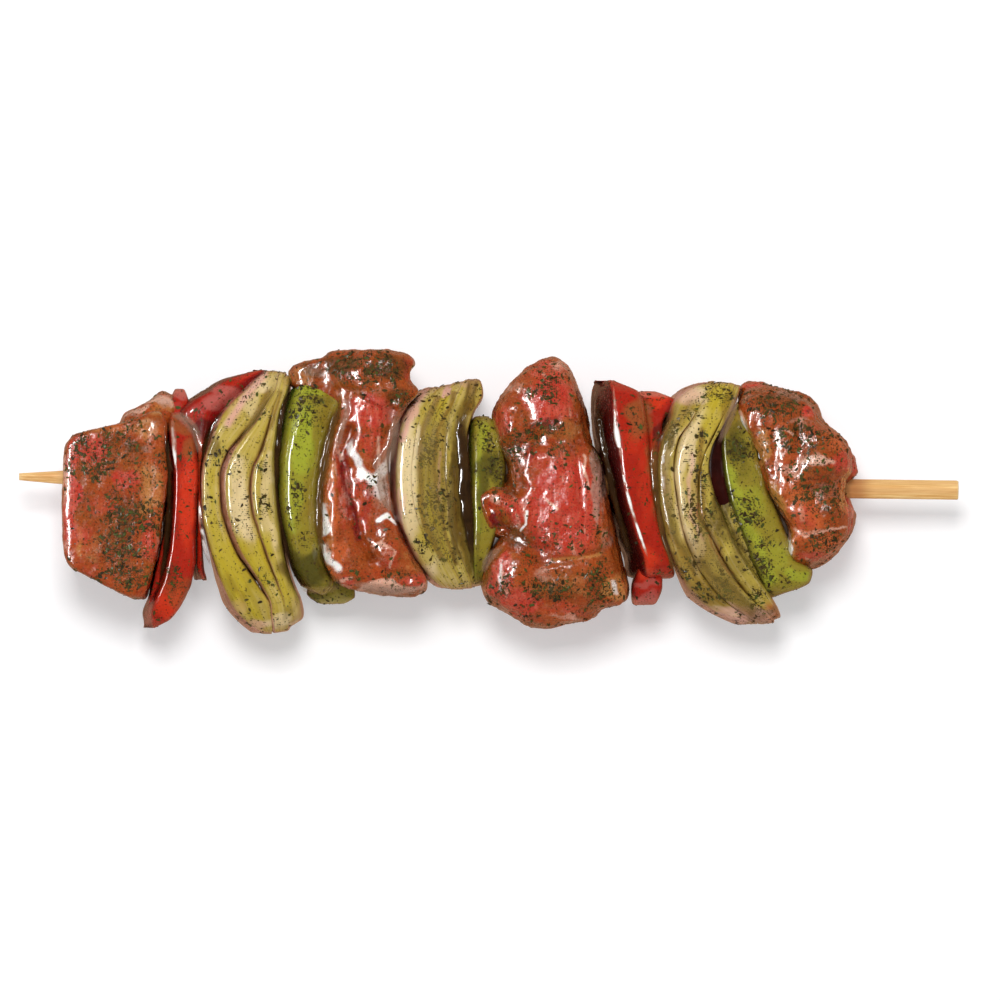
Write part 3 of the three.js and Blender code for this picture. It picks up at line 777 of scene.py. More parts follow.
# the seams between an onion's layers from left to right, shared by the two layers beside each
onions = {
    "onion_1": {
        "seams": [
            [(264, 633), (246, 618), (232, 601), (219, 572), (208, 540), (202, 510), (201, 480),
                (206, 450), (214, 425), (227, 406), (249, 387), (266, 371)],
            [(275, 634), (273, 606), (262, 586), (250, 569), (238, 552), (228, 528), (222, 505),
                (221, 478), (227, 455), (241, 437), (254, 423), (268, 401), (276, 388), (278, 372)],
            [(290, 630), (288, 608), (279, 584), (272, 566), (265, 546), (259, 528), (253, 510),
                (251, 487), (253, 469), (259, 455), (264, 440), (272, 412), (280, 390), (282, 373)],
            [(303, 616), (299, 598), (293, 580), (287, 558), (281, 528), (277, 499), (275, 466),
                (277, 437), (279, 415), (284, 396), (288, 378)],
        ],
        "layers": [
            {
                "bottom": 4, "top": 32, "bellyEnds": -2.2,
                "roof": [(0, 2.4), (0.1, 0.6), (0.22, 0), (0.9, 0.3), (1, 0.8)],
                "leftFace": 0.05,
            },
            {
                "bottom": 3, "top": 33.8,
                "roof": [(0, 4), (0.18, 1.0), (0.26, 0.25), (0.36, 0), (0.9, 0.4), (1, 0.9)],
                "leftFace": 0.2,
            },
            {
                "bottom": 4, "top": 34.8,
                "roof": [(0, 2.4), (0.1, 0.7), (0.2, 0.1), (0.3, 0), (0.8, 0.8), (1, 3)],
                "leftFace": 0.1,
            },
        ],
    },
    "onion_2": {
        "seams": [
            [(444, 588), (429, 574), (411, 545), (398, 507), (395, 478), (399, 430), (412, 402),
                (430, 388)],
            [(454, 589), (441, 568), (426, 540), (414, 505), (411, 478), (415, 435), (425, 405),
                (440, 387)],
            [(463, 589), (451, 565), (438, 535), (430, 500), (428, 470), (431, 430), (438, 405),
                (453, 383)],
            [(472, 588), (462, 560), (452, 530), (447, 500), (446, 465), (447, 425), (455, 400),
                (465, 380)],
            [(481, 584), (476, 555), (470, 520), (466, 480), (465, 440), (470, 415), (478, 395),
                (476, 379)],
        ],
        "layers": [
            {
                "bottom": 4, "top": 33.8, "squareTop": 30, "overlap": 0.2, "belly": -1.0,
                "roof": [(0, 4), (0.14, 1.3), (0.3, 0.3), (0.5, 0), (1, 0)], "leftFace": 0.08,
            },
            {
                "bottom": 3, "top": 33.9, "squareTop": 40, "overlap": 0.25,
                "roof": [(0, 0.3), (0.3, 0), (1, 0.2)],
            },
            {
                "bottom": 3, "top": 33.6, "squareTop": 40, "overlap": 0.25,
                "roof": [(0, 0.1), (0.35, 0), (1, 0.6)],
            },
            {
                "bottom": 4, "top": 33.0, "squareTop": 30, "overlap": 0.25,
                "roof": [(0, 0), (0.3, 0.1), (1, 3.5)],
            },
        ],
    },
    "onion_3": {
        "seams": [
            [(744, 624), (716, 612), (693, 596), (680, 572), (671, 554), (664, 533), (659, 514),
                (655, 491), (654, 460), (657, 441), (665, 421), (670, 405), (686, 389), (704, 382)],
            [(762, 624), (733, 606), (709, 584), (693, 558), (682, 526), (676, 494), (673, 466),
                (677, 442), (688, 424), (700, 404), (714, 382)],
            [(776, 622), (753, 600), (736, 580), (724, 562), (711, 538), (697, 510), (697, 482),
                (702, 457), (713, 434), (724, 411), (733, 384)],
            [(781, 616), (767, 590), (752, 568), (738, 545), (725, 517), (713, 491), (708, 465),
                (711, 448), (721, 427), (730, 407), (737, 386)],
        ],
        "layers": [
            {
                "bottom": 4, "top": 32.6, "bellyEnds": -1.2,
                "roof": [(0, 4), (0.16, 1.2), (0.3, 0.3), (0.5, 0), (1, 0.4)], "leftFace": 0.08,
            },
            {"bottom": 3, "top": 33.8, "roof": [(0, 1.6), (0.15, 0.2), (0.24, 0), (1, 0.3)]},
            {"bottom": 4, "top": 33.2, "roof": [(0, 1.2), (0.14, 0.1), (0.24, 0), (0.8, 0.5), (1, 2.6)]},
        ],
        "last": {
            "west": [(768, 594), (762, 586), (749, 567), (735, 543), (724, 518), (714, 484)],
            "east": [(777, 597), (771, 584), (761, 566), (749, 541), (737, 516), (717, 480)],
            "bottom": 5, "top": 28, "drop": 1.5,
        },
    },
}
onionDefaults = {
    "bluntWide": 8.0,
    "bluntHigh": 3.6,
    "drop": 2.5,
    "taper": -0.1,
    "squareTop": 12.0,
    "overlap": 0.08,
    "endOverlap": 0.6,
}
onionSlices = {}
for bulb, parts in onions.items():
    for number, layer in enumerate(parts["layers"]):
        seams = {"west": parts["seams"][number], "east": parts["seams"][number + 1]}
        onionSlices[f"{bulb}_layer_{number + 1}"] = {**onionDefaults, **seams, **layer}
onionSlices["onion_3_layer_4"] = {**onionDefaults, **onions["onion_3"]["last"]}

# paler and stronger colours on some slices, as spots
onionTint = {
    "cream": [(240, 495, 12, 46, 0.9), (208, 490, 8, 34, 0.5), (268, 500, 7, 50, 0.6),
        (410, 480, 12, 80, 1.0), (688, 445, 8, 36, 1.0), (690, 395, 16, 12, 1.0),
        (684, 510, 9, 50, 0.35), (250, 400, 12, 20, 0.6), (698, 550, 8, 26, 0.6),
        (424, 562, 16, 20, 0.9), (272, 380, 10, 10, 0.5), (400, 560, 12, 20, 0.8),
        (718, 618, 34, 5, 0.8), (258, 380, 10, 10, 0.9), (284, 622, 16, 8, 0.8)],
    "yellow": [(235, 575, 30, 40, 0.95), (290, 560, 14, 60, 0.7), (262, 560, 12, 40, 0.9),
        (238, 470, 10, 14, 0.4), (718, 395, 18, 16, 1.0), (710, 425, 12, 14, 0.6),
        (428, 545, 20, 24, 0.7), (255, 430, 8, 16, 0.4), (425, 470, 10, 60, 0.4),
        (215, 550, 10, 20, 0.4)],
    "pink": [(250, 386, 8, 14, 0.55), (232, 412, 6, 18, 0.4), (240, 609, 12, 8, 0.4),
        (262, 624, 16, 8, 0.6), (411, 408, 9, 18, 0.7), (446, 391, 5, 9, 0.8), (401, 512, 5, 26, 0.5),
        (684, 396, 18, 13, 0.6), (745, 612, 34, 8, 0.7), (466, 384, 8, 4, 0.5), (715, 612, 30, 8, 0.5),
        (692, 500, 9, 50, 0.35), (705, 545, 10, 20, 0.3)],
}
pepperTint = {
    "red_pepper": [(190, 500, 12, 60, 0.9), (176, 600, 16, 24, 1.0), (250, 378, 16, 6, 0.4),
        (630, 440, 14, 20, 0.5), (646, 480, 10, 60, 0.5), (655, 398, 12, 10, 1.0),
        (645, 562, 14, 20, 0.9)],
    "green_pepper": [(302, 440, 15, 44, 1.0), (308, 388, 20, 10, 1.0), (296, 500, 10, 30, 0.6),
        (306, 520, 8, 20, 0.4), (484, 436, 7, 22, 0.6), (480, 570, 7, 14, 0.4), (752, 505, 12, 22, 0.6),
        (776, 560, 18, 18, 0.5), (798, 575, 14, 8, 0.7)],
}
pepperVeil = [
    (151, 612, 7, 18, 0.8), (336, 598, 24, 6, 0.4), (228, 396, 16, 12, 0.9), (212, 404, 12, 8, 0.8),
    (645, 583, 20, 4, 0.7), (178, 394, 10, 7, 1.0), (188, 422, 10, 8, 0.6), (328, 592, 20, 5, 0.2),
    (170, 392, 8, 8, 0.4), (648, 598, 16, 10, 0.9),
]
tints = {"onion": onionTint}
for slot, spots in pepperTint.items():
    tints[slot] = {"bright": spots, "veil": pepperVeil}
# and as lines
sliceStreaks = {
    # mask: (marks, width in mm, strength)
    "onion": {
        "pink": [([(264, 374), (244, 398), (228, 424)], 1.2, 0.8),
            ([(220, 418), (206, 455), (202, 500), (207, 540), (221, 580)], 0.35, 0.7),
            ([(424, 392), (410, 410), (402, 440)], 0.9, 0.8),
            ([(399, 490), (404, 530), (420, 560)], 0.5, 0.7), ([(441, 450), (440, 500)], 0.4, 0.6),
            ([(447, 386), (441, 398)], 0.5, 0.9), ([(690, 455), (688, 500), (700, 540)], 0.8, 0.6),
            ([(690, 594), (713, 613), (746, 622)], 0.8, 0.9)],
        "cream": [([(258, 382), (238, 408)], 0.8, 0.7),
            ([(239, 462), (240, 500), (250, 535)], 1.9, 1.0),
            ([(268, 455), (266, 500), (276, 550)], 0.8, 0.7),
            ([(417, 394), (405, 430), (402, 480), (410, 530), (432, 572)], 1.5, 1.0),
            ([(447, 470), (450, 520)], 0.4, 0.6), ([(674, 428), (664, 466), (667, 512)], 1.0, 0.8),
            ([(704, 413), (685, 440), (677, 470), (679, 510), (692, 548)], 1.3, 1.0),
            ([(717, 520), (711, 534), (716, 552)], 0.3, 0.8), ([(716, 606), (742, 616)], 0.5, 0.8)],
        "glaze": [([(270, 390), (255, 418), (236, 444)], 0.8, 1.0),
            ([(280, 392), (271, 425), (262, 452)], 0.7, 0.8), ([(228, 575), (252, 612)], 0.9, 0.5),
            ([(436, 398), (422, 430), (418, 470), (425, 520), (441, 560)], 0.8, 1.0),
            ([(452, 394), (438, 430), (436, 470), (442, 520), (456, 565)], 0.6, 1.0),
            ([(661, 470), (667, 520), (684, 562), (705, 590)], 1.4, 0.9),
            ([(700, 560), (724, 590), (752, 612)], 1.8, 0.9),
            ([(700, 430), (696, 470), (704, 520), (720, 550)], 0.8, 0.9),
            ([(672, 412), (664, 436), (658, 470)], 1.6, 0.8), ([(471, 380), (466, 410)], 1.6, 0.9),
            ([(688, 404), (676, 424)], 1.6, 0.7)],
        "yellow": [([(212, 470), (216, 530), (236, 585), (262, 615)], 1.2, 0.8),
            ([(444, 394), (430, 430), (427, 470), (434, 520), (448, 560)], 0.9, 0.9),
            ([(724, 388), (712, 402), (703, 424)], 1.8, 0.9)],
        # painted shade along the sides that fall away into the gaps
        "shade": [([(464, 405), (456, 440), (456, 480), (462, 530), (470, 570)], 1.3, 0.8),
            ([(700, 560), (722, 582), (752, 606)], 0.8, 0.7),
            ([(669, 508), (679, 545), (694, 572)], 0.9, 0.6),
            ([(714, 500), (727, 525), (742, 552)], 1.2, 0.9),
            ([(676, 408), (665, 432), (660, 455)], 1.3, 0.4), ([(468, 384), (463, 402)], 0.4, 0.8),
            ([(474, 384), (471, 408)], 0.4, 0.8)],
        "right": [([(696, 505), (709, 540), (732, 574)], 0.3, 0.9), ([(772, 606), (781, 616)], 1.2, 0.8)],
        "left": [([(744, 616), (764, 617), (779, 620)], 1.6, 0.9)],
    },
    "green_pepper": {
        "bright": [([(298, 395), (291, 430), (288, 480), (294, 530)], 1.2, 0.7),
            ([(480, 425), (478, 480), (480, 530)], 0.9, 0.7),
            ([(728, 470), (750, 530), (772, 580)], 1.4, 0.8)],
        "glaze": [([(334, 420), (325, 470), (322, 520)], 1.0, 1.0),
            ([(750, 430), (764, 480), (784, 530)], 0.8, 0.8)],
        "shade": [([(478, 560), (482, 582)], 1.6, 0.6)],
    },
}
sliceGroups = [
    # (slot, slices, first seed, fine roughness in mm, density of herbs)
    ("red_pepper", redSlices, 0, 0.08, 0.7),
    ("green_pepper", greenSlices, 10, 0.08, 1.1),
    ("onion", onionSlices, 20, 0.07, 1.0),
]
sliceMesh = {"rows": 150, "cols": 128, "wave": 0.22, "waveSize": 9, "roughSize": 2.6, "wander": 0.6,
             "wanderSize": 4, "streakFloor": 8, "cutEnd": (0.9, 0.985)}


def buildSlice(name, shape, slot, seed, rough, herbs):
    # a loft with gentle waves and fine unevenness along its normals
    m = sliceMesh
    points, marks = loft(shape, m["rows"], m["cols"])
    piece = makeMesh(ownName(name), points, *gridFaces(m["rows"], m["cols"]))
    wave = m["wave"] * fractal(points, m["waveSize"], 2, seed)
    wave = wave + rough * fractal(points, m["roughSize"], 3, seed + 20)
    points = points + readNormals(piece) * wave[:, None]
    writePoints(piece, points)
    masks = {
        **marks, "shift": np.full(len(points), (seed % 10) / 10),
        "cut": smooth(*m["cutEnd"], np.abs(marks["along"])) * shape.get("endCut", 0.0),
        "stain": blobs(points, stainSpots, seed=seed), "glaze": blobs(points, glazeSpots, seed=seed + 5),
        # painted shade from the darker spots
        "shade": blobs(points, shadeSpots, 2.2, seed + 7),
        **{kind: blobs(points, spots, seed=seed + 9) for kind, spots in tints[slot].items()},
    }
    shaken = points + m["wander"] * fractal(points, m["wanderSize"], 3, seed + 12)[:, None] * [1, 1, 0]
    for kind, lines in sliceStreaks.get(slot, {}).items():
        for line in lines:
            here = streak(shaken, *line) * (points[:, 2] > m["streakFloor"])
            masks[kind] = np.maximum(masks[kind], here)
    paint(piece, masks)
    finishPiece(piece, name, slot, herbs)


for slot, slices, first, rough, herbs in sliceGroups:
    for index, (name, shape) in enumerate(slices.items()):
        buildSlice(name, shape, slot, first + index, rough, herbs)
print("slices built")


# beef: lumps grown together, then folds, knobs and fine grain. Folds are (marks, width, depth) and
# knobs (px, py, half width, half height, height in mm); the rest says where a colour shows
# deep paints the dark red lean and, in grooves and holes, painted shade
beefChunks = {
    "beef_1": {
        "lumps": [
            {
                "west": [(134, 599), (112, 588), (90, 576), (71, 566), (65, 553), (64, 530), (63, 500),
                    (64, 470), (65, 448), (73, 436), (105, 427), (135, 419), (152, 411)],
                "east": [(148, 599), (154, 578), (161, 548), (165, 515), (169, 490), (170, 470),
                    (168, 445), (167, 425), (160, 411)],
                "bottom": -1, "top": 32.5, "drop": 0.6, "bluntHigh": 14, "squareTop": 14, "bluntWide": 14,
            },
            {
                "west": [(112, 445), (121, 414), (138, 406), (148, 400), (158, 391)],
                "east": [(182, 445), (182, 414), (180, 404), (172, 396), (162, 391)],
                "bottom": 5, "top": 25, "drop": 2, "bluntHigh": 3, "squareTop": 3,
            },
        ],
        "lumpy": 0.16, "crease": 0.03, "fine": 0.12, "voxel": 0.36,
        "folds": [([(150, 430), (148, 470), (150, 540)], 1.6, 0.25),
            ([(66, 540), (80, 548), (96, 545)], 1.4, 0.2)],
        # the fat streaks along the top and left edges are painted highlight lines
        "streaks": {
            "fat": [([(75, 429), (95, 424), (118, 418), (140, 410)], 0.35, 0.7),
                ([(66, 455), (65, 500), (66, 545)], 0.3, 0.5)],
            "tan": [([(80, 526), (82, 556)], 0.7, 0.7), ([(148, 468), (150, 505)], 1.3, 0.8),
                ([(139, 466), (140, 480)], 0.6, 0.7)],
        },
        "knobs": [(100, 440, 22, 10, 0.3), (155, 440, 8, 16, 0.3), (135, 560, 26, 18, 0.3)],
        "bare": [(88, 448, 24, 14, 1.0), (73, 500, 10, 60, 1.0), (80, 535, 14, 16, 0.6),
            (128, 477, 12, 11, 0.8), (152, 540, 12, 24, 0.7), (120, 408, 30, 8, 0.5),
            (150, 402, 14, 7, 0.4), (105, 505, 18, 12, 0.5), (96, 570, 20, 8, 0.4)],
        "deep": [(166, 560, 5, 30, 0.5)],
        "fat": [(67, 480, 3, 30, 0.7), (64, 545, 3, 12, 0.5), (160, 400, 20, 9, 1.0),
            (135, 410, 14, 6, 0.8)],
        "warm": [(73, 500, 8, 50, 0.5), (150, 440, 16, 20, 0.5), (160, 500, 6, 30, 0.5),
            (110, 425, 30, 6, 0.5)],
        "tan": [(150, 490, 14, 34, 0.6), (165, 405, 20, 12, 0.7), (120, 432, 40, 6, 0.4),
            (95, 545, 10, 18, 0.4), (152, 430, 14, 14, 0.6)],
        "film": [(146, 447, 5, 8, 0.6), (125, 413, 20, 5, 0.7), (160, 398, 18, 7, 0.7),
            (80, 462, 6, 4, 0.5)],
    },
    "beef_2": {
        "lumps": [
            {
                "west": [(376, 594), (345, 588), (333, 580), (324, 560), (320, 530), (320, 500),
                    (325, 462), (331, 430), (337, 408), (335, 388), (335, 368)],
                "east": [(420, 597), (432, 588), (425, 572), (410, 548), (397, 520), (392, 495),
                    (388, 465), (393, 440), (404, 415), (412, 395), (404, 368)],
                "bottom": 1, "top": 33.6, "drop": 1.2, "bluntHigh": 7, "squareTop": 6,
            },
            {
                "west": [(350, 412), (340, 406), (318, 400), (300, 394), (289, 384), (287, 371),
                    (299, 363), (318, 358), (324, 351)],
                "east": [(404, 412), (408, 404), (419, 392), (410, 380), (409, 373), (414, 364),
                    (408, 356), (396, 351)],
                "bottom": 8, "top": 34.6, "drop": 0.6, "bluntHigh": 8, "squareTop": 10, "bluntWide": 12,
                "roof": [(0, 9), (0.06, 6.6), (0.34, 6.2), (0.48, 1.4), (0.56, 0), (0.85, 0), (1, 1.0)],
            },
        ],
        "lumpy": 0.3, "crease": 0.12, "fine": 0.2, "voxel": 0.36,
        "folds": [([(350, 430), (341, 455), (348, 495), (361, 537), (374, 558)], 1.2, 2.2),
            ([(356, 470), (362, 500), (376, 532)], 2.0, 1.2),
            ([(392, 400), (386, 430), (374, 466)], 1.3, 1.2), ([(344, 392), (346, 415)], 1.2, 1.2),
            ([(372, 560), (388, 572), (410, 578)], 1.3, 1.0)],
        "streaks": {
            "fat": [([(378, 438), (379, 468)], 0.5, 0.8), ([(334, 450), (336, 480)], 0.5, 0.5),
                ([(372, 546), (384, 540), (396, 552), (392, 566)], 0.5, 0.7),
                ([(336, 584), (352, 578)], 0.6, 0.6), ([(340, 395), (346, 410), (342, 430)], 0.5, 0.5)],
            "deep": [([(341, 455), (348, 495), (361, 537)], 1.0, 0.9)],
            "tan": [([(326, 500), (332, 540), (330, 565)], 1.0, 0.5)],
            "milk": [([(351, 446), (357, 460), (366, 472), (376, 479)], 1.0, 1.0),
                ([(396, 448), (390, 461), (381, 473), (374, 482)], 1.15, 1.0),
                ([(377, 478), (380, 492)], 1.9, 0.6), ([(378, 521), (388, 515), (398, 521)], 0.55, 1.0),
                ([(323, 506), (326, 518), (328, 532)], 0.65, 1.0),
                ([(325, 545), (330, 558), (339, 569)], 0.9, 1.0)],
        },
        "knobs": [(368, 425, 16, 34, 0.5), (334, 520, 9, 50, 1.2), (386, 488, 12, 30, -2.6),
            (388, 552, 12, 10, 0.9), (352, 560, 10, 14, 0.5), (412, 572, 14, 12, 0.5)],
        "bare": [(370, 412, 24, 20, 0.9), (368, 440, 14, 22, 0.6), (345, 490, 10, 46, 0.7),
            (366, 500, 14, 40, 0.6), (392, 556, 14, 16, 0.5), (408, 364, 6, 14, 0.5),
            (350, 582, 12, 8, 0.8), (415, 584, 18, 8, 0.7)],
        "deep": [(348, 480, 5, 40, 0.6), (366, 500, 6, 30, 0.45), (350, 435, 4, 14, 0.5)],
        "fat": [(386, 552, 12, 10, 0.4), (395, 589, 40, 7, 0.85), (345, 500, 5, 30, 0.4),
            (337, 450, 4, 20, 0.5), (416, 368, 4, 12, 0.5)],
        "warm": [(334, 560, 14, 24, 0.9), (330, 500, 8, 40, 0.8), (345, 575, 16, 10, 0.5),
            (405, 570, 16, 14, 0.4), (385, 440, 6, 26, 0.5)],
        "tan": [(330, 470, 8, 20, 0.5), (420, 560, 12, 20, 0.4), (300, 376, 14, 10, 0.6),
            (360, 455, 10, 12, 0.4)],
        "film": [(360, 372, 6, 8, 0.4), (314, 374, 18, 8, 0.6), (380, 592, 30, 5, 0.8),
            (382, 495, 12, 18, 0.6), (392, 420, 8, 26, 0.4)],
    },
    "beef_3": {
        "lumps": [
            {
                "west": [(531, 628), (513, 618), (500, 611), (487, 600), (481, 585), (482, 570),
                    (489, 551), (502, 536), (506, 515), (507, 490), (506, 468), (498, 450), (492, 432),
                    (489, 415), (498, 399), (509, 383), (521, 370), (536, 361), (548, 357)],
                "east": [(550, 628), (575, 622), (597, 619), (606, 608), (629, 603), (633, 592),
                    (628, 572), (620, 548), (613, 518), (607, 490), (600, 460), (590, 440), (586, 415),
                    (578, 389), (568, 367), (556, 357)],
                "bottom": -1, "top": 36, "drop": 2.5, "bluntHigh": 4, "squareTop": 4,
            },
            {
                "west": [(492, 536), (484, 515), (479, 497), (486, 484)],
                "east": [(520, 536), (528, 515), (528, 497), (516, 484)], "bottom": 18, "top": 35,
                "drop": 2, "bluntHigh": 2.5, "squareTop": 3,
            },
        ],
        "lumpy": 0.45, "crease": 0.13, "fine": 0.2, "voxel": 0.38,
        "folds": [([(492, 452), (520, 446), (548, 440), (590, 446)], 2.2, 1.6),
            ([(500, 538), (520, 540), (540, 552)], 2.6, 2.6),
            ([(540, 562), (570, 560), (602, 552)], 1.0, 0.9),
            ([(540, 470), (536, 505), (540, 548)], 1.8, 0.35),
            ([(575, 448), (579, 480), (581, 508)], 0.9, 0.8),
            ([(492, 508), (500, 522), (498, 532)], 2.2, 3.6),
            ([(518, 395), (528, 412), (530, 420)], 1.2, 0.7),
            ([(500, 480), (512, 490), (520, 486)], 1.4, 1.5)],
        # the fat streak down the right of the face is a painted highlight band
        "streaks": {
            "fat": [([(545, 496), (552, 502), (559, 508)], 0.3, 0.9),
                ([(556, 362), (574, 378), (583, 408)], 0.5, 0.6), ([(583, 456), (586, 488)], 0.5, 0.8),
                ([(497, 388), (510, 392)], 0.4, 0.5), ([(551, 530), (552, 556)], 0.25, 0.6),
                ([(498, 486), (512, 492), (524, 508), (526, 528)], 0.5, 0.5)],
            "tan": [([(552, 559), (575, 558), (600, 554)], 0.4, 1.0),
                ([(606, 585), (620, 578)], 1.2, 0.8)],
            "milk": [([(526, 512), (527, 523), (521, 530)], 0.3, 0.9),
                ([(483, 562), (489, 549), (495, 542)], 0.35, 0.8), ([(613, 582), (618, 592)], 0.7, 0.6),
                ([(500, 566), (502, 590)], 0.45, 0.6)],
        },
        "knobs": [(545, 395, 26, 22, 1.5), (575, 500, 24, 36, 0.7), (515, 580, 18, 24, 1.3),
            (580, 590, 34, 22, 0.9), (515, 515, 11, 14, 1.3), (510, 425, 12, 16, 1.0),
            (566, 430, 12, 14, 0.8), (556, 431, 5, 5, 0.9), (566, 446, 4, 7, 0.8),
            (546, 440, 5, 4, 0.7), (529, 452, 5, 6, 0.8), (586, 470, 4, 10, 0.7)],
        "bare": [(565, 505, 42, 56, 1.0), (548, 398, 32, 28, 0.9), (503, 580, 14, 30, 1.0),
            (515, 512, 13, 16, 1.0), (524, 602, 24, 18, 0.8), (500, 420, 12, 20, 0.7),
            (545, 372, 22, 12, 0.7), (500, 500, 14, 12, 0.7), (570, 612, 26, 10, 0.5),
            (540, 460, 24, 12, 0.6)],
        "deep": [(545, 425, 26, 12, 0.6), (525, 455, 14, 14, 0.5), (496, 518, 4, 8, 1.0)],
        "fat": [(560, 364, 14, 8, 0.55), (522, 516, 4, 14, 0.5), (543, 572, 8, 8, 0.35),
            (570, 616, 24, 4, 0.5), (503, 580, 5, 20, 0.55), (572, 500, 22, 2, 0.3),
            (494, 502, 7, 7, 0.6), (510, 385, 16, 6, 0.5), (582, 395, 4, 22, 0.5),
            (603, 500, 5, 30, 0.4)],
        "warm": [(545, 385, 26, 14, 0.4), (502, 505, 14, 16, 0.8), (498, 585, 12, 24, 0.8),
            (618, 588, 14, 14, 0.7), (520, 590, 26, 20, 0.5), (600, 520, 14, 34, 0.4),
            (560, 610, 30, 8, 0.4)],
        "tan": [(560, 430, 30, 14, 0.5), (560, 585, 34, 16, 0.4), (618, 590, 14, 12, 0.8),
            (505, 560, 12, 10, 0.5), (600, 520, 10, 30, 0.4)],
        "film": [(545, 575, 12, 10, 0.6), (597, 480, 7, 50, 0.8), (608, 540, 8, 20, 0.5),
            (500, 612, 16, 6, 0.7), (520, 436, 8, 12, 0.4)],
    },
    "beef_4": {
        "lumps": [
            {
                "west": [(796, 569), (787, 558), (785, 545), (788, 530), (775, 508), (763, 485),
                    (755, 460), (747, 440), (738, 425), (735, 410), (736, 397), (744, 388)],
                "east": [(803, 569), (823, 560), (839, 547), (849, 531), (851, 514), (848, 505),
                    (844, 497), (845, 480), (852, 470), (851, 458), (846, 445), (838, 434), (820, 421),
                    (816, 409), (808, 401), (793, 394), (774, 388)],
                "bottom": -1, "top": 33.5, "drop": 2, "bluntHigh": 4, "squareTop": 4,
            },
            {
                "west": [(798, 572), (792, 556), (786, 520), (764, 470), (742, 425), (736, 400),
                    (737, 386), (745, 381)],
                "east": [(806, 572), (828, 562), (844, 548), (855, 531), (858, 514), (853, 505),
                    (850, 495), (852, 480), (860, 472), (856, 456), (848, 440), (824, 420), (821, 410),
                    (812, 398), (782, 388), (756, 381)],
                "bottom": -1, "top": 22, "drop": 1, "bluntHigh": 4, "squareTop": 3,
            },
        ],
        "lumpy": 0.5, "crease": 0.2, "fine": 0.2, "voxel": 0.36,
        "folds": [([(737, 416), (751, 445), (756, 475), (771, 505), (789, 535), (789, 556)], 0.9, -2.0),
            ([(800, 400), (796, 425), (800, 445), (790, 470)], 1.5, 1.2),
            ([(770, 432), (775, 455), (772, 480)], 1.4, 0.8),
            ([(812, 490), (830, 488), (845, 470)], 1.6, 1.1),
            ([(815, 500), (822, 520), (850, 522)], 1.6, 0.9),
            ([(800, 530), (815, 538), (840, 535)], 1.2, 0.8)],
        # the tan and fat streaks along the crest paint its lit edge and highlights
        "streaks": {
            "tan": [([(736, 416), (750, 445), (755, 475), (770, 505), (788, 533), (788, 556)], 1.4, 1.0)],
            "fat": [([(737, 414), (751, 445), (756, 475), (771, 505), (789, 535), (788, 556)], 0.6, 0.95),
                ([(774, 440), (780, 430), (792, 434)], 0.5, 0.7),
                ([(800, 462), (815, 456), (830, 462)], 0.8, 0.8),
                ([(795, 528), (806, 536), (825, 530), (846, 526)], 0.4, 0.7),
                ([(783, 468), (795, 476)], 0.5, 0.6)],
            "milk": [([(738, 420), (746, 436)], 0.4, 1.0), ([(752, 453), (757, 476)], 0.45, 0.9),
                ([(764, 493), (775, 512)], 0.4, 0.9), ([(781, 526), (789, 544), (788, 556)], 0.5, 1.0)],
        },
        "knobs": [(748, 440, 5, 26, 0.9), (762, 480, 5, 26, 1.0), (778, 515, 6, 26, 1.2),
            (788, 540, 6, 12, 1.0), (768, 410, 22, 16, 0.6), (812, 462, 20, 14, 0.9),
            (812, 410, 10, 10, 0.8), (800, 525, 18, 20, 0.7), (832, 510, 12, 14, 0.7),
            (830, 440, 14, 10, 0.7)],
        "bare": [(838, 462, 14, 12, 0.7), (803, 412, 7, 6, 1.0), (812, 430, 10, 8, 0.4),
            (790, 470, 12, 10, 0.4), (798, 515, 20, 22, 0.5), (850, 515, 8, 24, 1.0),
            (852, 460, 8, 16, 1.0), (752, 383, 22, 5, 1.0), (815, 556, 24, 6, 0.8)],
        "deep": [(803, 411, 5, 4, 0.6), (815, 482, 12, 4, 0.4)],
        "fat": [(813, 464, 14, 8, 0.8), (790, 472, 9, 7, 0.55), (795, 420, 10, 8, 0.45),
            (776, 438, 6, 8, 0.5), (812, 532, 16, 5, 0.5), (782, 412, 6, 4, 0.3)],
        "warm": [(800, 515, 26, 28, 1.0), (825, 545, 22, 14, 0.7), (835, 440, 16, 14, 0.8),
            (785, 470, 18, 34, 0.6), (775, 430, 12, 18, 0.5), (820, 440, 16, 12, 0.5)],
        "tan": [(756, 455, 10, 30, 0.9), (776, 510, 10, 30, 0.9), (795, 505, 14, 20, 0.4),
            (790, 545, 12, 14, 0.5)],
        "film": [(822, 492, 20, 12, 0.45), (795, 394, 30, 6, 0.6), (832, 478, 8, 8, 0.4),
            (740, 395, 6, 10, 0.5), (806, 430, 14, 8, 0.4)],
    },
}
beefSurface = {
    # sizes in mm of what makes the surface, and how strong the second size is against the first
    "lumpSizes": (9, 3.6), "lumpShares": (0.75, 0.45), "fineSizes": (1.7, 0.9), "fineShare": 0.45,
    "creaseSizes": (6.5, 2.8), "creaseShare": 0.55, "stretch": [1.0, 0.6, 1.0],
    "facing": (0.1, 0.7),             # how far a normal points up before folds and knobs show
    "deepest": 1.5,                   # a fold this deep gets the darkest painted shade
    "wander": 0.5, "wanderSize": 3,
    "crown": (15, 26), "crownLeast": 0.25,  # fat with its painted glints, and film, fade below the top
    "herbs": 1.25,
}
beefSpots = {"bare": 0, "deep": 1, "fat": 2, "film": 3, "tan": 6, "warm": 9}   # each mask's seed


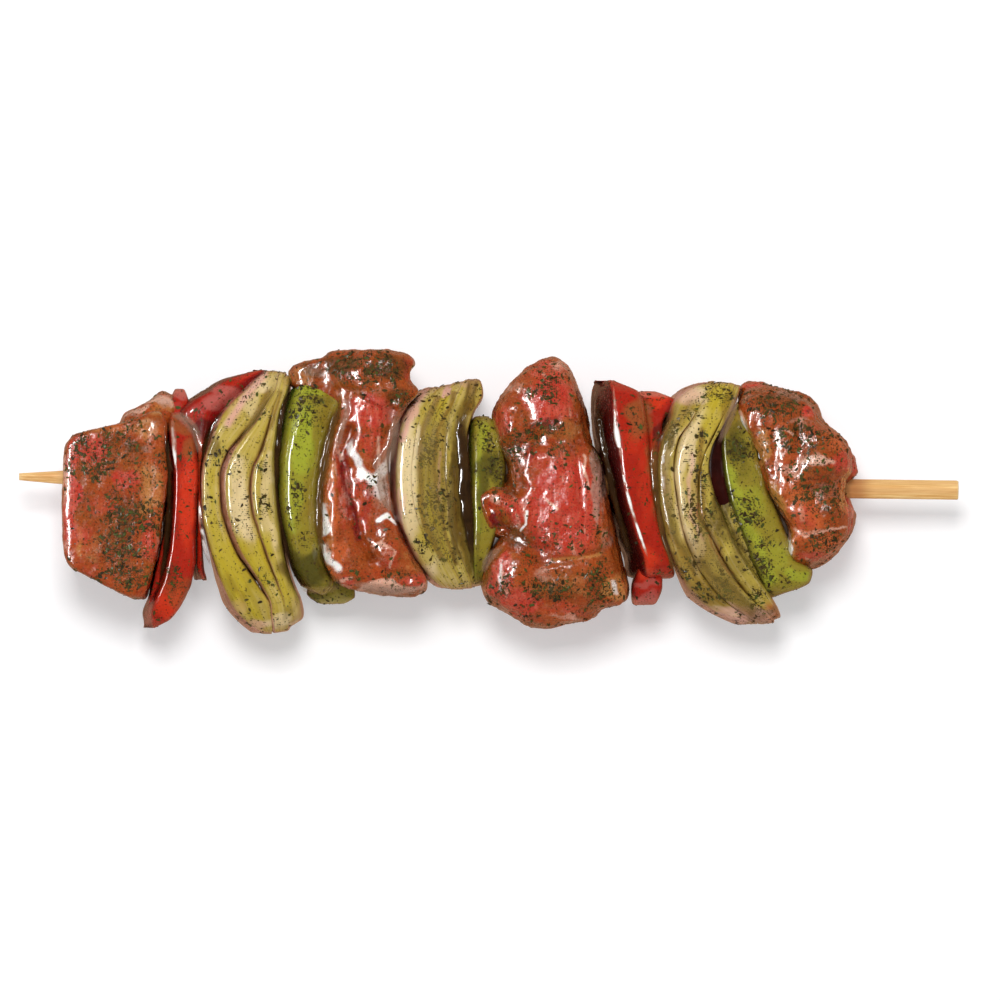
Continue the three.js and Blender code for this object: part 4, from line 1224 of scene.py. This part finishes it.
def growTogether(name, lumps, voxel, rows=70, cols=90):
    # the lumps joined by a voxel remesh and smoothed, as one closed skin
    points, quads, tris, first = [], [], [], 0
    for shape in lumps:
        points.append(loft(shape, rows, cols)[0])
        q, t = gridFaces(rows, cols, first)
        quads.append(q)
        tris.append(t)
        first += len(points[-1])
    rough = makeMesh(name + "_rough", *(np.concatenate(part) for part in (points, quads, tris)))
    remesh = rough.modifiers.new("grow", "REMESH")
    remesh.mode = "VOXEL"
    remesh.voxel_size = voxel * mm
    soften = rough.modifiers.new("soften", "SMOOTH")
    soften.factor = 0.5
    soften.iterations = 10
    bpy.context.view_layer.update()
    done = bpy.data.meshes.new_from_object(rough.evaluated_get(bpy.context.evaluated_depsgraph_get()))
    bpy.data.objects.remove(rough)
    done.name = name
    done.shade_smooth()
    return linked(name, done)


def beefMasks(points, normals, chunk, seed, creaseShade):
    s = beefSurface
    up, z = normals[:, 2], points[:, 2]
    masks = {kind: blobs(points, chunk[kind], seed=seed + extra) for kind, extra in beefSpots.items()}
    crown = s["crownLeast"] + (1 - s["crownLeast"]) * smooth(*s["crown"], z)
    masks["fat"] = crown * masks["fat"]
    masks["film"] = crown * masks["film"]
    masks["milk"] = 0 * z
    # the sides are bare in patches and have streaks of fat, and the folds are darkened to deep red as painted
    # shade
    sides = smooth(0.35, -0.1, up)
    leanSides = sides * smooth(-0.2, 0.5, fractal(points, 11, 2, seed + 30))
    fatSides = sides * smooth(0.45, 0.7, fractal(points * [1, 1, 2], 7, 3, seed + 31))
    for kind, here in (("bare", 0.8 * leanSides), ("fat", 0.6 * fatSides), ("deep", 0.45 * creaseShade)):
        masks[kind] = np.maximum(masks[kind], here)
    shaken = points + s["wander"] * fractal(points, s["wanderSize"], 2, seed + 12)[:, None] * [1, 1, 0]
    for kind, lines in chunk["streaks"].items():
        for line in lines:
            masks[kind] = np.maximum(masks[kind], streak(shaken, *line))
    masks["under"] = smooth(0.15, -0.5, up) * smooth(14, 2, z)
    masks["stain"] = blobs(points, stainSpots, seed=seed + 4) * smooth(-0.2, 0.4, up)
    return masks


def buildBeef(name, chunk, seed):
    # folds and knobs as bell curves on the top, then lumps, grain and creases along the normals
    s = beefSurface
    piece = growTogether(ownName(name), chunk["lumps"], chunk["voxel"])
    points = readPoints(piece)
    facing = smooth(*s["facing"], readNormals(piece)[:, 2])
    lift = np.zeros(len(points))
    creaseShade = np.zeros(len(points))
    for marks, width, depth in chunk["folds"]:
        here = streak(points, marks, width)
        creaseShade = np.maximum(creaseShade, here * np.clip(depth, 0, s["deepest"]) / s["deepest"])
        lift -= depth * here * facing
    for px, py, halfX, halfY, height in chunk["knobs"]:
        reach = np.array([halfX, halfY]) * photo["mmPerPixel"]
        away = (((points[:, :2] - plan((px, py))) / reach) ** 2).sum(1)
        lift += height * np.exp(-away) * facing
    points[:, 2] += lift
    writePoints(piece, points)
    stretched = points * s["stretch"]
    lumpy = (s["lumpShares"][0] * fractal(points, s["lumpSizes"][0], 2, seed)
             + s["lumpShares"][1] * fractal(stretched, s["lumpSizes"][1], 2, seed + 4))
    fine = (fractal(stretched, s["fineSizes"][0], 2, seed + 8)
            + s["fineShare"] * fractal(points, s["fineSizes"][1], 2, seed + 9))
    crease = (creased(points, s["creaseSizes"][0], seed + 2)
              + s["creaseShare"] * creased(points, s["creaseSizes"][1], seed + 6))
    out = chunk["lumpy"] * lumpy + chunk["fine"] * fine + chunk["crease"] * crease
    points = points + readNormals(piece) * out[:, None]
    writePoints(piece, points)
    paint(piece, beefMasks(points, readNormals(piece), chunk, seed, creaseShade * facing))
    finishPiece(piece, name, "beef", s["herbs"])
    print(name, "built,", len(piece.data.polygons), "faces")


for index, (name, chunk) in enumerate(beefChunks.items()):
    buildBeef(name, chunk, index + 40)


# the stick
stick = {
    "length": 200.0, "side": 3.45, "turn": 30.0, "square": 5.0, "pointLength": 26.0, "pointScale": 0.36,
    "bevel": 0.4, "rows": 240, "cols": 56,
    "tipInset": 0.2, "tipScale": (0.5, 0.93),                # the rounded left end
    "endInset": 0.12, "endScale": (0.96, 0.88, 0.45),        # and the cut one
    "fibre": 0.035, "fibreSize": 0.7, "fibreLong": 0.03,
    "oiledTo": (-89, 77), "oiledFade": (2, 7),               # X of the food's ends, and how far it soaks
}


def buildStick():
    # a rounded square section carried along X, whittled by a sine towards the left tip
    s = stick
    half = s["length"] / 2
    across, up = sectionCurve(s["cols"], 1, 1, s["square"], s["square"])
    turn = np.radians(s["turn"])
    y = across * np.cos(turn) - up * np.sin(turn)
    z = across * np.sin(turn) + up * np.cos(turn)
    body = np.linspace(-half + s["tipInset"], half - s["bevel"], s["rows"] - 6)
    x = np.concatenate([[-half, -half, -half], body, [half - s["endInset"], half, half]])
    along = np.clip((x + half) / s["pointLength"], 0, 1)
    scale = s["pointScale"] + (1 - s["pointScale"]) * np.sin(along * np.pi / 2)
    scale[:2] *= s["tipScale"]
    scale[-3:] = s["endScale"]
    size = s["side"] / 2 * scale[:, None]
    grid = np.stack([x[:, None] + 0 * y, size * y, stickTop + size * z], -1)[:, ::-1]
    points = np.concatenate([[[-half, 0, stickTop]], grid.reshape(-1, 3), [[half, 0, stickTop]]])
    piece = makeMesh("bambooStick", points, *gridFaces(len(x), s["cols"]))
    fibre = s["fibre"] * fractal(points * [s["fibreLong"], 1, 1], s["fibreSize"], 3, 2)
    points = points + readNormals(piece) * fibre[:, None] * [0, 1, 1]
    writePoints(piece, points)
    left, right = s["oiledTo"]
    x = points[:, 0]
    oiled = smooth(s["oiledFade"][1], 0, x - right) * smooth(s["oiledFade"][0], 0, left - x)
    paint(piece, {"oiled": oiled, "endGrain": smooth(half - 0.3, half, np.abs(x))})
    finishPiece(piece, "skewer", "bamboo", 0.0)


buildStick()
print("stick built")


# the food's faces, and a map of the height of its top for films to lie on
def faceData(piece):
    faces = piece.data.polygons
    middle = (readArray(faces, "center", 3).astype(float) - home) / mm
    area = readArray(faces, "area", 1)[:, 0] / mm ** 2
    return middle, readArray(faces, "normal", 3).astype(float), area


def herbPlaces():
    # every face of the food with its chance of holding a herb, before the clusters: none on the
    # sides that press together, on the underside and on the floor
    rows = []
    for piece, density in herbGround:
        middle, normal, area = faceData(piece)
        bare = smooth(0.95, 0.6, np.abs(normal[:, 0])) * smooth(-1.0, 0.3, normal[:, 2])
        bare = bare * (middle[:, 2] > 0.4)
        bare = bare * np.clip(np.abs(normal[:, 2]), 0.25, 1)
        rows.append((middle, normal, area * density * bare))
    return (np.concatenate(part) for part in zip(*rows))


groundMiddle, groundNormal, groundWeight = herbPlaces()
topMap = {"cell": 0.5, "margin": 3, "soften": 3}
topMap["low"] = groundMiddle.min(0)[:2] - topMap["margin"]


def makeTopMap():
    # the highest face in each cell, filled from the neighbours and softened three times
    spread = groundMiddle.max(0)[:2] + topMap["margin"] - topMap["low"]
    grid = np.zeros(np.ceil(spread / topMap["cell"]).astype(int))
    cell = ((groundMiddle[:, :2] - topMap["low"]) / topMap["cell"]).astype(int)
    np.maximum.at(grid, (cell[:, 0], cell[:, 1]), groundMiddle[:, 2])
    around = lambda g: [np.roll(g, (i, j), (0, 1)) for i in (-1, 0, 1) for j in (-1, 0, 1)]
    grid = np.max(around(grid), 0)
    for _ in range(topMap["soften"]):
        grid = np.mean(around(grid), 0)
    return grid


topMap["grid"] = makeTopMap()


def heightAt(points):
    # read between the four nearest cells
    place = (points[..., :2] - topMap["low"]) / topMap["cell"] - 0.5
    i, j = np.moveaxis(np.floor(place).astype(int), -1, 0)
    a, b = place[..., 0] - i, place[..., 1] - j
    g = topMap["grid"]
    return (g[i, j] * (1 - a) + g[i + 1, j] * a) * (1 - b) + (g[i, j + 1] * (1 - a) + g[i + 1, j + 1] * a) * b


# marinade. A strip in a gap has a path of (px, py, Z in mm, width in mm); one that lies on the
# food, as a film or a highlight does, has no Z. Thick is its depth and look its material
gelDefaults = {"thick": 3.0, "look": "marinadePaintedShade"}
gelStrips = {
    "gelGap1": {
        "thick": 2.6,
        "path": [(158, 598, 22, 1.8), (164, 575, 25, 2.0), (168, 540, 26, 1.8), (170, 500, 27, 1.6),
            (169, 460, 30, 1.6), (166, 430, 31.6, 1.8), (166, 420, 31, 1.4)],
    },
    "gelCap1": {
        "look": "marinadeCloudy", "thick": 1.0,
        "path": [(168, 414, 1.8), (179, 416, 2.6), (190, 424, 2.6), (197, 437, 2.2), (200, 456, 1.4)],
    },
    "gelGap2": {
        "path": [(203, 560, 18, 1.8), (201, 530, 20, 2.4), (200, 500, 22, 2.4), (202, 470, 24, 3.0),
            (209, 444, 25, 4.4), (220, 420, 26, 3.6), (234, 403, 26, 2.0)],
    },
    "gelGap3": {
        "thick": 2.8,
        "path": [(300, 590, 24, 2.2), (290, 555, 28, 2.0), (281, 515, 29, 1.8), (276, 480, 29.5, 1.8),
            (278, 440, 30, 2.0), (283, 405, 29.4, 2.6), (288, 388, 27.4, 3.2), (290, 376, 25.6, 3.2)],
    },
    "gelGap4": {
        "look": "marinadeClear", "thick": 2.6,
        "path": [(330, 570, 28, 2.4), (323, 542, 30, 2.6), (320, 512, 31, 2.4), (323, 470, 31.4, 2.2),
            (331, 430, 31.6, 2.2), (338, 408, 31, 2.6), (340, 392, 30, 2.6)],
    },
    "gelPool1": {
        "look": "marinadeCloudy",
        "path": [(396, 535, 28, 2.4), (388, 512, 30, 4.4), (380, 490, 30.6, 6.0), (380, 470, 31, 5.6),
            (389, 450, 31.6, 4.0), (394, 430, 32, 3.2), (400, 405, 32.4, 3.0)],
    },
    "gelGap5": {
        "path": [(476, 572, 27, 2.2), (471, 540, 29, 2.8), (466, 500, 30.4, 3.4), (463, 460, 30.6, 3.6),
            (461, 425, 31, 4.0), (468, 408, 30, 3.2)],
    },
    "gelGap6": {
        "thick": 2.8,
        "path": [(636, 566, 26, 1.6), (626, 540, 27, 1.8), (616, 505, 29, 1.8), (608, 470, 29.6, 1.8),
            (601, 440, 28.4, 2.2), (596, 412, 27, 2.6), (594, 394, 24.5, 2.4)],
    },
    "gelGap7": {
        "look": "marinadeClear", "thick": 2.8,
        "path": [(690, 588, 26, 1.6), (676, 570, 28, 2.0), (664, 545, 29, 2.0), (658, 510, 30, 2.2),
            (654, 478, 31, 2.4), (652, 452, 31, 2.4), (657, 430, 29, 2.4)],
    },
    "gelGap8": {
        "look": "marinadeDeepPaintedShade", "thick": 4.0,
        "path": [(766, 594, 19, 3.0), (750, 562, 22, 4.4), (735, 527, 24, 5.0), (721, 495, 25.4, 5.4),
            (715, 465, 25.6, 5.0), (718, 440, 26, 4.4), (728, 415, 26, 3.4), (736, 395, 25, 2.4)],
    },
    "gelGap9": {
        "path": [(744, 420, 26, 1.8), (757, 450, 27, 2.2), (768, 478, 27, 2.6), (780, 512, 25, 3.2),
            (787, 540, 22, 3.2), (792, 562, 17, 2.4)],
    },
    "gelGap10": {
        "path": [(502, 432, 25, 1.8), (506, 450, 26, 2.6), (507, 470, 26, 2.8), (505, 490, 25, 2.2)],
    },
    "gelGap11": {
        "path": [(508, 528, 25, 2.2), (501, 542, 24, 3.0), (491, 556, 22, 3.0), (483, 572, 20, 2.2)],
    },
    "gelFilm1": {
        "look": "marinadeGlaze", "thick": 0.9,
        "path": [(300, 586, 1.2), (314, 590, 2.0), (332, 589, 2.0), (344, 586, 1.2)],
    },
    "gelFilm3": {
        "look": "marinadeCloudy", "thick": 0.9,
        "path": [(504, 546, 1.8), (491, 556, 2.4), (483, 574, 1.8)],
    },
    "gelFilm4": {
        "look": "marinadeCloudy", "thick": 0.9,
        "path": [(345, 392, 1.6), (347, 408, 2.6), (342, 425, 2.2), (337, 450, 1.4)],
    },
    "gelFilm5": {
        "look": "marinadeCloudy", "thick": 0.9,
        "path": [(735, 392, 1.4), (731, 408, 2.2), (724, 428, 2.0), (716, 446, 1.4)],
    },
    "gelFilm6": {
        "look": "marinadeCloudy", "thick": 1.0,
        "path": [(352, 582, 2.0), (380, 589, 3.2), (408, 591, 3.2), (430, 585, 2.0)],
    },
    "gelSeam1": {
        "look": "marinadeGlaze", "thick": 1.0,
        "path": [(240, 440, 1.2), (254, 420, 2.0), (268, 398, 2.4), (278, 378, 2.0)],
    },
    "gelSeam2": {
        "look": "marinadeGlaze", "thick": 1.0,
        "path": [(742, 590, 1.6), (718, 560, 2.4), (702, 528, 2.2), (696, 500, 1.4)],
    },
    # painted highlights laid along lit edges and ridges
    "milk1": {
        "look": "paintedHighlightGel", "thick": 0.6,
        "path": [(200, 498, 0.6), (202, 520, 1.0), (206, 546, 1.0), (213, 568, 0.6)],
    },
    "milk2": {
        "look": "paintedHighlightGel", "thick": 0.6,
        "path": [(172, 418, 0.8), (174, 434, 1.2), (175, 450, 1.0), (177, 472, 0.5)],
    },
    "milk3": {
        "look": "paintedHighlightGel", "thick": 0.6,
        "path": [(649, 560, 0.5), (641, 538, 0.8), (632, 512, 0.8), (625, 487, 0.7), (619, 460, 0.5)],
    },
    "milk4": {
        "look": "paintedHighlightGel", "thick": 0.6,
        "path": [(611, 384, 0.5), (613, 404, 0.7), (614, 424, 1.0), (616, 438, 1.4), (619, 452, 0.9),
            (621, 464, 0.5)],
    },
    "milk5": {
        "look": "paintedHighlightGel", "thick": 0.6,
        "path": [(662, 450, 0.6), (662, 468, 1.1), (663, 486, 0.9), (665, 500, 0.5)],
    },
    "gelCoat1": {
        "look": "marinadeGlaze", "thick": 0.8,
        "path": [(442, 392, 3.0), (430, 420, 5.0), (427, 470, 6.0), (434, 520, 6.0), (448, 560, 5.0),
            (458, 578, 3.0)],
    },
    "gelCoat2": {
        "look": "marinadeGlaze", "thick": 0.8,
        "path": [(682, 404, 2.0), (667, 434, 3.4), (664, 480, 2.6), (672, 525, 2.6), (690, 560, 2.0)],
    },
    "gelCoat3": {
        "look": "marinadeGlaze", "thick": 0.8,
        "path": [(700, 545, 2.4), (712, 570, 5.0), (735, 596, 5.0), (762, 612, 3.0)],
    },
}
gelMesh = {"rows": 120, "cols": 28, "capPower": 2.6, "unevenWidth": 0.16, "unevenSize": 5,
           "rough": 0.3, "roughSize": 2.6, "tornSize": 2.2}


def buildGel(name, shape, seed):
    # an ellipse carried along a smooth path, thinned at both ends by a power cap
    m = gelMesh
    marks = np.array(shape["path"], float)
    lies = marks.shape[1] == 3
    if lies:
        marks = np.insert(marks, 2, 0.0, 1)
    run = np.concatenate([[0], np.cumsum(np.hypot(*np.diff(marks[:, :2], axis=0).T))])
    t = (1 - np.cos(np.linspace(0, np.pi, m["rows"] + 2))) / 2
    where = t[1:-1] * run[-1]
    px, py, z, wide = (through(np.stack([run, marks[:, k]], 1), where) for k in range(4))
    centre = np.column_stack([plan(np.stack([px, py], -1)), z])
    ahead = np.gradient(centre, axis=0)
    ahead[:, 2] = 0
    ahead /= np.linalg.norm(ahead, axis=1)[:, None]
    aside = np.stack([ahead[:, 1], -ahead[:, 0], 0 * z], -1)
    v = 2 * t[1:-1] - 1
    cap = (1 - np.abs(v) ** m["capPower"]) ** (1 / m["capPower"])
    wide = wide * (1 + m["unevenWidth"] * noise(centre, m["unevenSize"], seed)) * cap / 2
    deep = shape["thick"] / 2 * cap
    angle = np.linspace(0, 2 * np.pi, m["cols"], endpoint=False)
    c, s = np.cos(angle), np.sin(angle)
    grid = (centre[:, None] + aside[:, None] * (wide[:, None] * c)[..., None]
            + np.array([0, 0, 1]) * (deep[:, None] * s)[..., None])
    if lies:
        grid[..., 2] = heightAt(grid) + deep[:, None] * s
        centre = grid.mean(1)
    points = np.concatenate([[centre[0]], grid.reshape(-1, 3), [centre[-1]]])
    piece = makeMesh(name, points, *gridFaces(m["rows"], m["cols"]))
    rough = m["rough"] * min(1, shape["thick"] / 2)
    points = points + readNormals(piece) * (rough * fractal(points, m["roughSize"], 3, seed))[:, None]
    writePoints(piece, points)
    # the core is where the strip is deep: all of it but its rims, its ends and its underside
    ends = smooth(1.0, 0.6, np.abs(v))[:, None]
    core = ends * smooth(1.0, 0.4, np.abs(c)) * smooth(-0.1, 0.3, s)
    # a painted highlight is white over its top and torn at its edges
    if shape["look"] == "paintedHighlightGel":
        dome = ends * np.clip(s, 0, 1)
        torn = fractal(points[1:-1], m["tornSize"], 2, seed).reshape(core.shape)
        core = dome ** 1.2 * smooth(-1.1, 0.1, torn)
    paint(piece, {"core": np.concatenate([[0], core.ravel(), [0]])})
    piece.data.materials.append(materials[shape["look"]])
    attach(piece, "root")


for index, (name, shape) in enumerate(gelStrips.items()):
    buildGel(name, {**gelDefaults, **shape}, index + 60)
print("marinade laid")


# herbs: torn leaves and crumbs, each kind one joined piece. Long is a range in mm and few how much
# the small ones outnumber the large; slim is the width against the length
herbKinds = {
    "herbLeaves": {"count": 6500, "long": (0.45, 1.5), "few": 2.4, "slim": (0.3, 0.65), "thick": 0.12,
                   "corners": 6, "curl": 0.2, "gather": 4.5, "seed": 5},
    "herbCrumbs": {"count": 16000, "long": (0.18, 0.5), "few": 1.6, "slim": (0.45, 0.95), "thick": 0.09,
                   "corners": 4, "curl": 0.0, "gather": 3.0, "seed": 6},
    "herbSpecks": {"count": 16000, "long": (0.10, 0.26), "few": 1.2, "slim": (0.6, 1.0), "thick": 0.07,
                   "corners": 4, "curl": 0.0, "gather": 1.6, "seed": 7},
}
# where they gather: (px, py, half width, half height)
herbClusters = [
    (115, 442, 16, 8), (135, 448, 14, 10), (104, 458, 14, 8), (112, 500, 10, 8), (125, 520, 20, 16),
    (148, 515, 14, 16), (120, 548, 24, 16), (130, 575, 26, 12), (80, 448, 10, 6), (95, 470, 14, 14),
    (178, 578, 12, 16), (355, 362, 20, 10), (380, 370, 20, 14), (310, 400, 14, 12), (262, 470, 10, 8),
    (262, 508, 10, 10), (305, 415, 16, 16), (300, 490, 12, 12), (428, 450, 12, 20), (432, 500, 10, 20),
    (430, 545, 14, 10), (500, 465, 12, 20), (485, 440, 8, 16), (540, 390, 14, 8), (545, 428, 20, 10),
    (515, 455, 14, 12), (560, 455, 14, 10), (600, 460, 8, 30), (340, 368, 20, 10), (400, 400, 12, 16),
    (545, 590, 26, 14), (600, 585, 22, 16), (500, 590, 14, 14), (715, 392, 14, 10), (700, 440, 12, 10),
    (690, 412, 12, 6), (740, 450, 16, 18), (770, 405, 30, 16), (800, 440, 24, 14), (820, 495, 26, 16),
    (698, 480, 10, 16), (700, 520, 12, 24), (684, 570, 12, 16), (668, 430, 8, 18), (715, 590, 26, 10),
    (755, 600, 16, 10), (745, 510, 14, 18), (758, 560, 14, 16), (820, 540, 18, 10),
]
clusterMask = blobs(groundMiddle, herbClusters, 2.0, 17)
herbPatches = 1.2 * smooth(0.1, 0.6, fractal(groundMiddle, 5, 3, 33))


def unit(vectors):
    return vectors / np.linalg.norm(vectors, axis=1)[:, None]


def buildHerbs(name, kind):
    # flat ragged flakes laid along the surface, drawn by chance from the faces. A flake is a lid
    # and a base of so many corners round an ellipse, joined by a rim
    rng = np.random.default_rng(kind["seed"])
    count, corners = kind["count"], kind["corners"]
    chance = groundWeight * (0.22 + kind["gather"] * clusterMask + herbPatches)
    pick = rng.choice(len(chance), count, p=chance / chance.sum())
    up = unit(groundNormal[pick] + rng.normal(0, 0.16, (count, 3)))
    aside = unit(np.cross(up, rng.normal(size=(count, 3))))
    ahead = np.cross(up, aside)
    shortest, longest = kind["long"]
    long = shortest + (longest - shortest) * rng.random(count) ** kind["few"]
    slim = long * rng.uniform(*kind["slim"], count)
    turn = (np.arange(corners) + 0.5) * 2 * np.pi / corners
    ragged = rng.uniform(0.6, 1.15, (count, corners))
    rim = (aside[:, None] * (long[:, None] / 2 * np.cos(turn) * ragged)[..., None]
           + ahead[:, None] * (slim[:, None] / 2 * np.sin(turn) * ragged)[..., None])
    bend = (rng.uniform(-0.5, 1.0, count) * kind["curl"] * long)[:, None] * np.cos(turn) ** 2
    base = (groundMiddle[pick] + up * 0.02)[:, None] + rim + up[:, None] * bend[..., None]
    lower = base - up[:, None] * kind["thick"] * 0.6
    upper = base + up[:, None] * kind["thick"] * 0.5
    points = np.concatenate([lower, upper], 1).reshape(-1, 3)
    j = np.arange(corners)
    k = (j + 1) % corners
    one = [np.stack([j, k, k + corners, j + corners], -1)]
    for first in range(0, corners - 2, 2):
        lid = np.array([0, first + 1, first + 2, first + 3])
        one.append(lid[None, ::-1])
        one.append(lid[None] + corners)
    one = np.concatenate(one)
    quads = (one[None] + (np.arange(count) * 2 * corners)[:, None, None]).reshape(-1, 4)
    piece = makeMesh(name, points, quads)
    piece.data.shade_flat()
    paint(piece, {"tone": np.repeat(rng.random(count), 2 * corners)})
    piece.data.materials.append(materials["herbs"])
    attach(piece, "root")


for name, kind in herbKinds.items():
    buildHerbs(name, kind)
print("herbs scattered")


# floor, light and camera
lights = {
    # place, size in metres, radiance, and what the light does: "fill" lights without a reflection,
    # "gloss" only shows as a reflection in the wet surfaces
    "keySoft": {"place": (-0.06, 0.42, 1.50), "size": (0.38, 0.38), "radiance": 35.5, "role": "fill"},
    "edgeStrip": {"place": (-0.95, 0.10, 0.80), "size": (0.8, 0.26), "radiance": 45.0, "role": "gloss"},
    "topBox": {"place": (-0.45, 0.55, 1.15), "size": (0.18, 0.18), "radiance": 36.0, "role": "gloss"},
    "sheenBox": {"place": (-0.35, 0.9, 1.0), "size": (0.7, 0.5), "radiance": 0.4, "role": "gloss"},
}
room = {
    # what the room gives to matt surfaces, to reflections and to the camera, and its tint
    "diffuse": 0.51, "gloss": 0.045, "camera": 0.98, "tint": (0.985, 0.99, 1.0, 1),
    # the floor's colour, what reflections see of it, and the light of its own that the camera sees
    "floor": (0.93, 0.925, 0.93, 1), "floorGloss": (0.38, 0.20, 0.12, 1),
    "floorGlow": 0.25, "glowLevel": 1.32, "wide": 12.0, "below": 0.0002,
}
cameraSet = {"distance": 3.0, "aimHeight": 18.0, "frameWidth": 212.9, "sensor": 36.0}


def areaLight(name, spec):
    light = bpy.data.lights.new(name, "AREA")
    light.shape = "RECTANGLE"
    light.size, light.size_y = spec["size"]
    light.energy = spec["radiance"] * np.pi * spec["size"][0] * spec["size"][1]
    lamp = linked(name, light)
    lamp.location = spec["place"]
    lamp.rotation_euler = (-Vector(spec["place"])).to_track_quat("-Z", "Y").to_euler()
    lamp.visible_glossy = spec["role"] == "gloss"
    lamp.visible_diffuse = spec["role"] == "fill"


def mixShader(tree, factor, plain, other):
    return filled(tree, "ShaderNodeMixShader", {}, [(0, factor), (1, plain), (2, other)])


def byRay(tree, kind, plain, other):
    # one shader for rays of a kind and another for the rest
    return mixShader(tree, add(tree, "ShaderNodeLightPath").outputs[kind], plain, other)


def buildFloor():
    wide = room["wide"]
    mesh = bpy.data.meshes.new("floor")
    corners = [(-wide, -wide, 0), (wide, -wide, 0), (wide, wide, 0), (-wide, wide, 0)]
    mesh.from_pydata(corners, [], [(0, 1, 2, 3)])
    floor = linked("floor", mesh)
    floor.location.z = -room["below"]
    material, tree, shader = newMaterial("paleFloor", room["floor"], 0.9, coat=0.0, Specular_IOR_Level=0.0)
    dim = add(tree, "ShaderNodeEmission", Color=room["floorGloss"])
    bright = add(tree, "ShaderNodeEmission", Strength=room["glowLevel"])
    lit = mixShader(tree, room["floorGlow"], shader.outputs[0], bright.outputs[0])
    seen = byRay(tree, "Is Camera Ray", shader.outputs[0], lit)
    put(tree, tree.nodes["Material Output"].inputs[0], byRay(tree, "Is Glossy Ray", seen, dim.outputs[0]))
    mesh.materials.append(material)


def buildWorld():
    world = bpy.data.worlds.new("softRoom")
    bpy.context.scene.world = world
    world.use_nodes = True
    tree = world.node_tree
    level = lambda name: add(tree, "ShaderNodeBackground", Color=room["tint"], Strength=room[name]).outputs[0]
    plain = byRay(tree, "Is Glossy Ray", level("diffuse"), level("gloss"))
    put(tree, tree.nodes["World Output"].inputs[0], byRay(tree, "Is Camera Ray", plain, level("camera")))


def buildCamera():
    # straight down on the middle of the photo, rolled by the stick's small tilt
    c = cameraSet
    data = bpy.data.cameras.new("camera")
    data.sensor_width = c["sensor"]
    data.lens = c["sensor"] * c["distance"] / (c["frameWidth"] * mm)
    data.clip_end = 50
    camera = linked("camera", data)
    x, y = plan(photo["middle"]) * mm + home[:2]
    camera.location = (x, y, c["distance"] + c["aimHeight"] * mm)
    camera.rotation_euler = (0, 0, np.arctan(photo["tilt"]))
    bpy.context.scene.camera = camera


buildFloor()
buildWorld()
for name, spec in lights.items():
    areaLight(name, spec)
buildCamera()
bpy.context.scene.view_settings.view_transform = "Standard"
print("stage, lights and camera set")
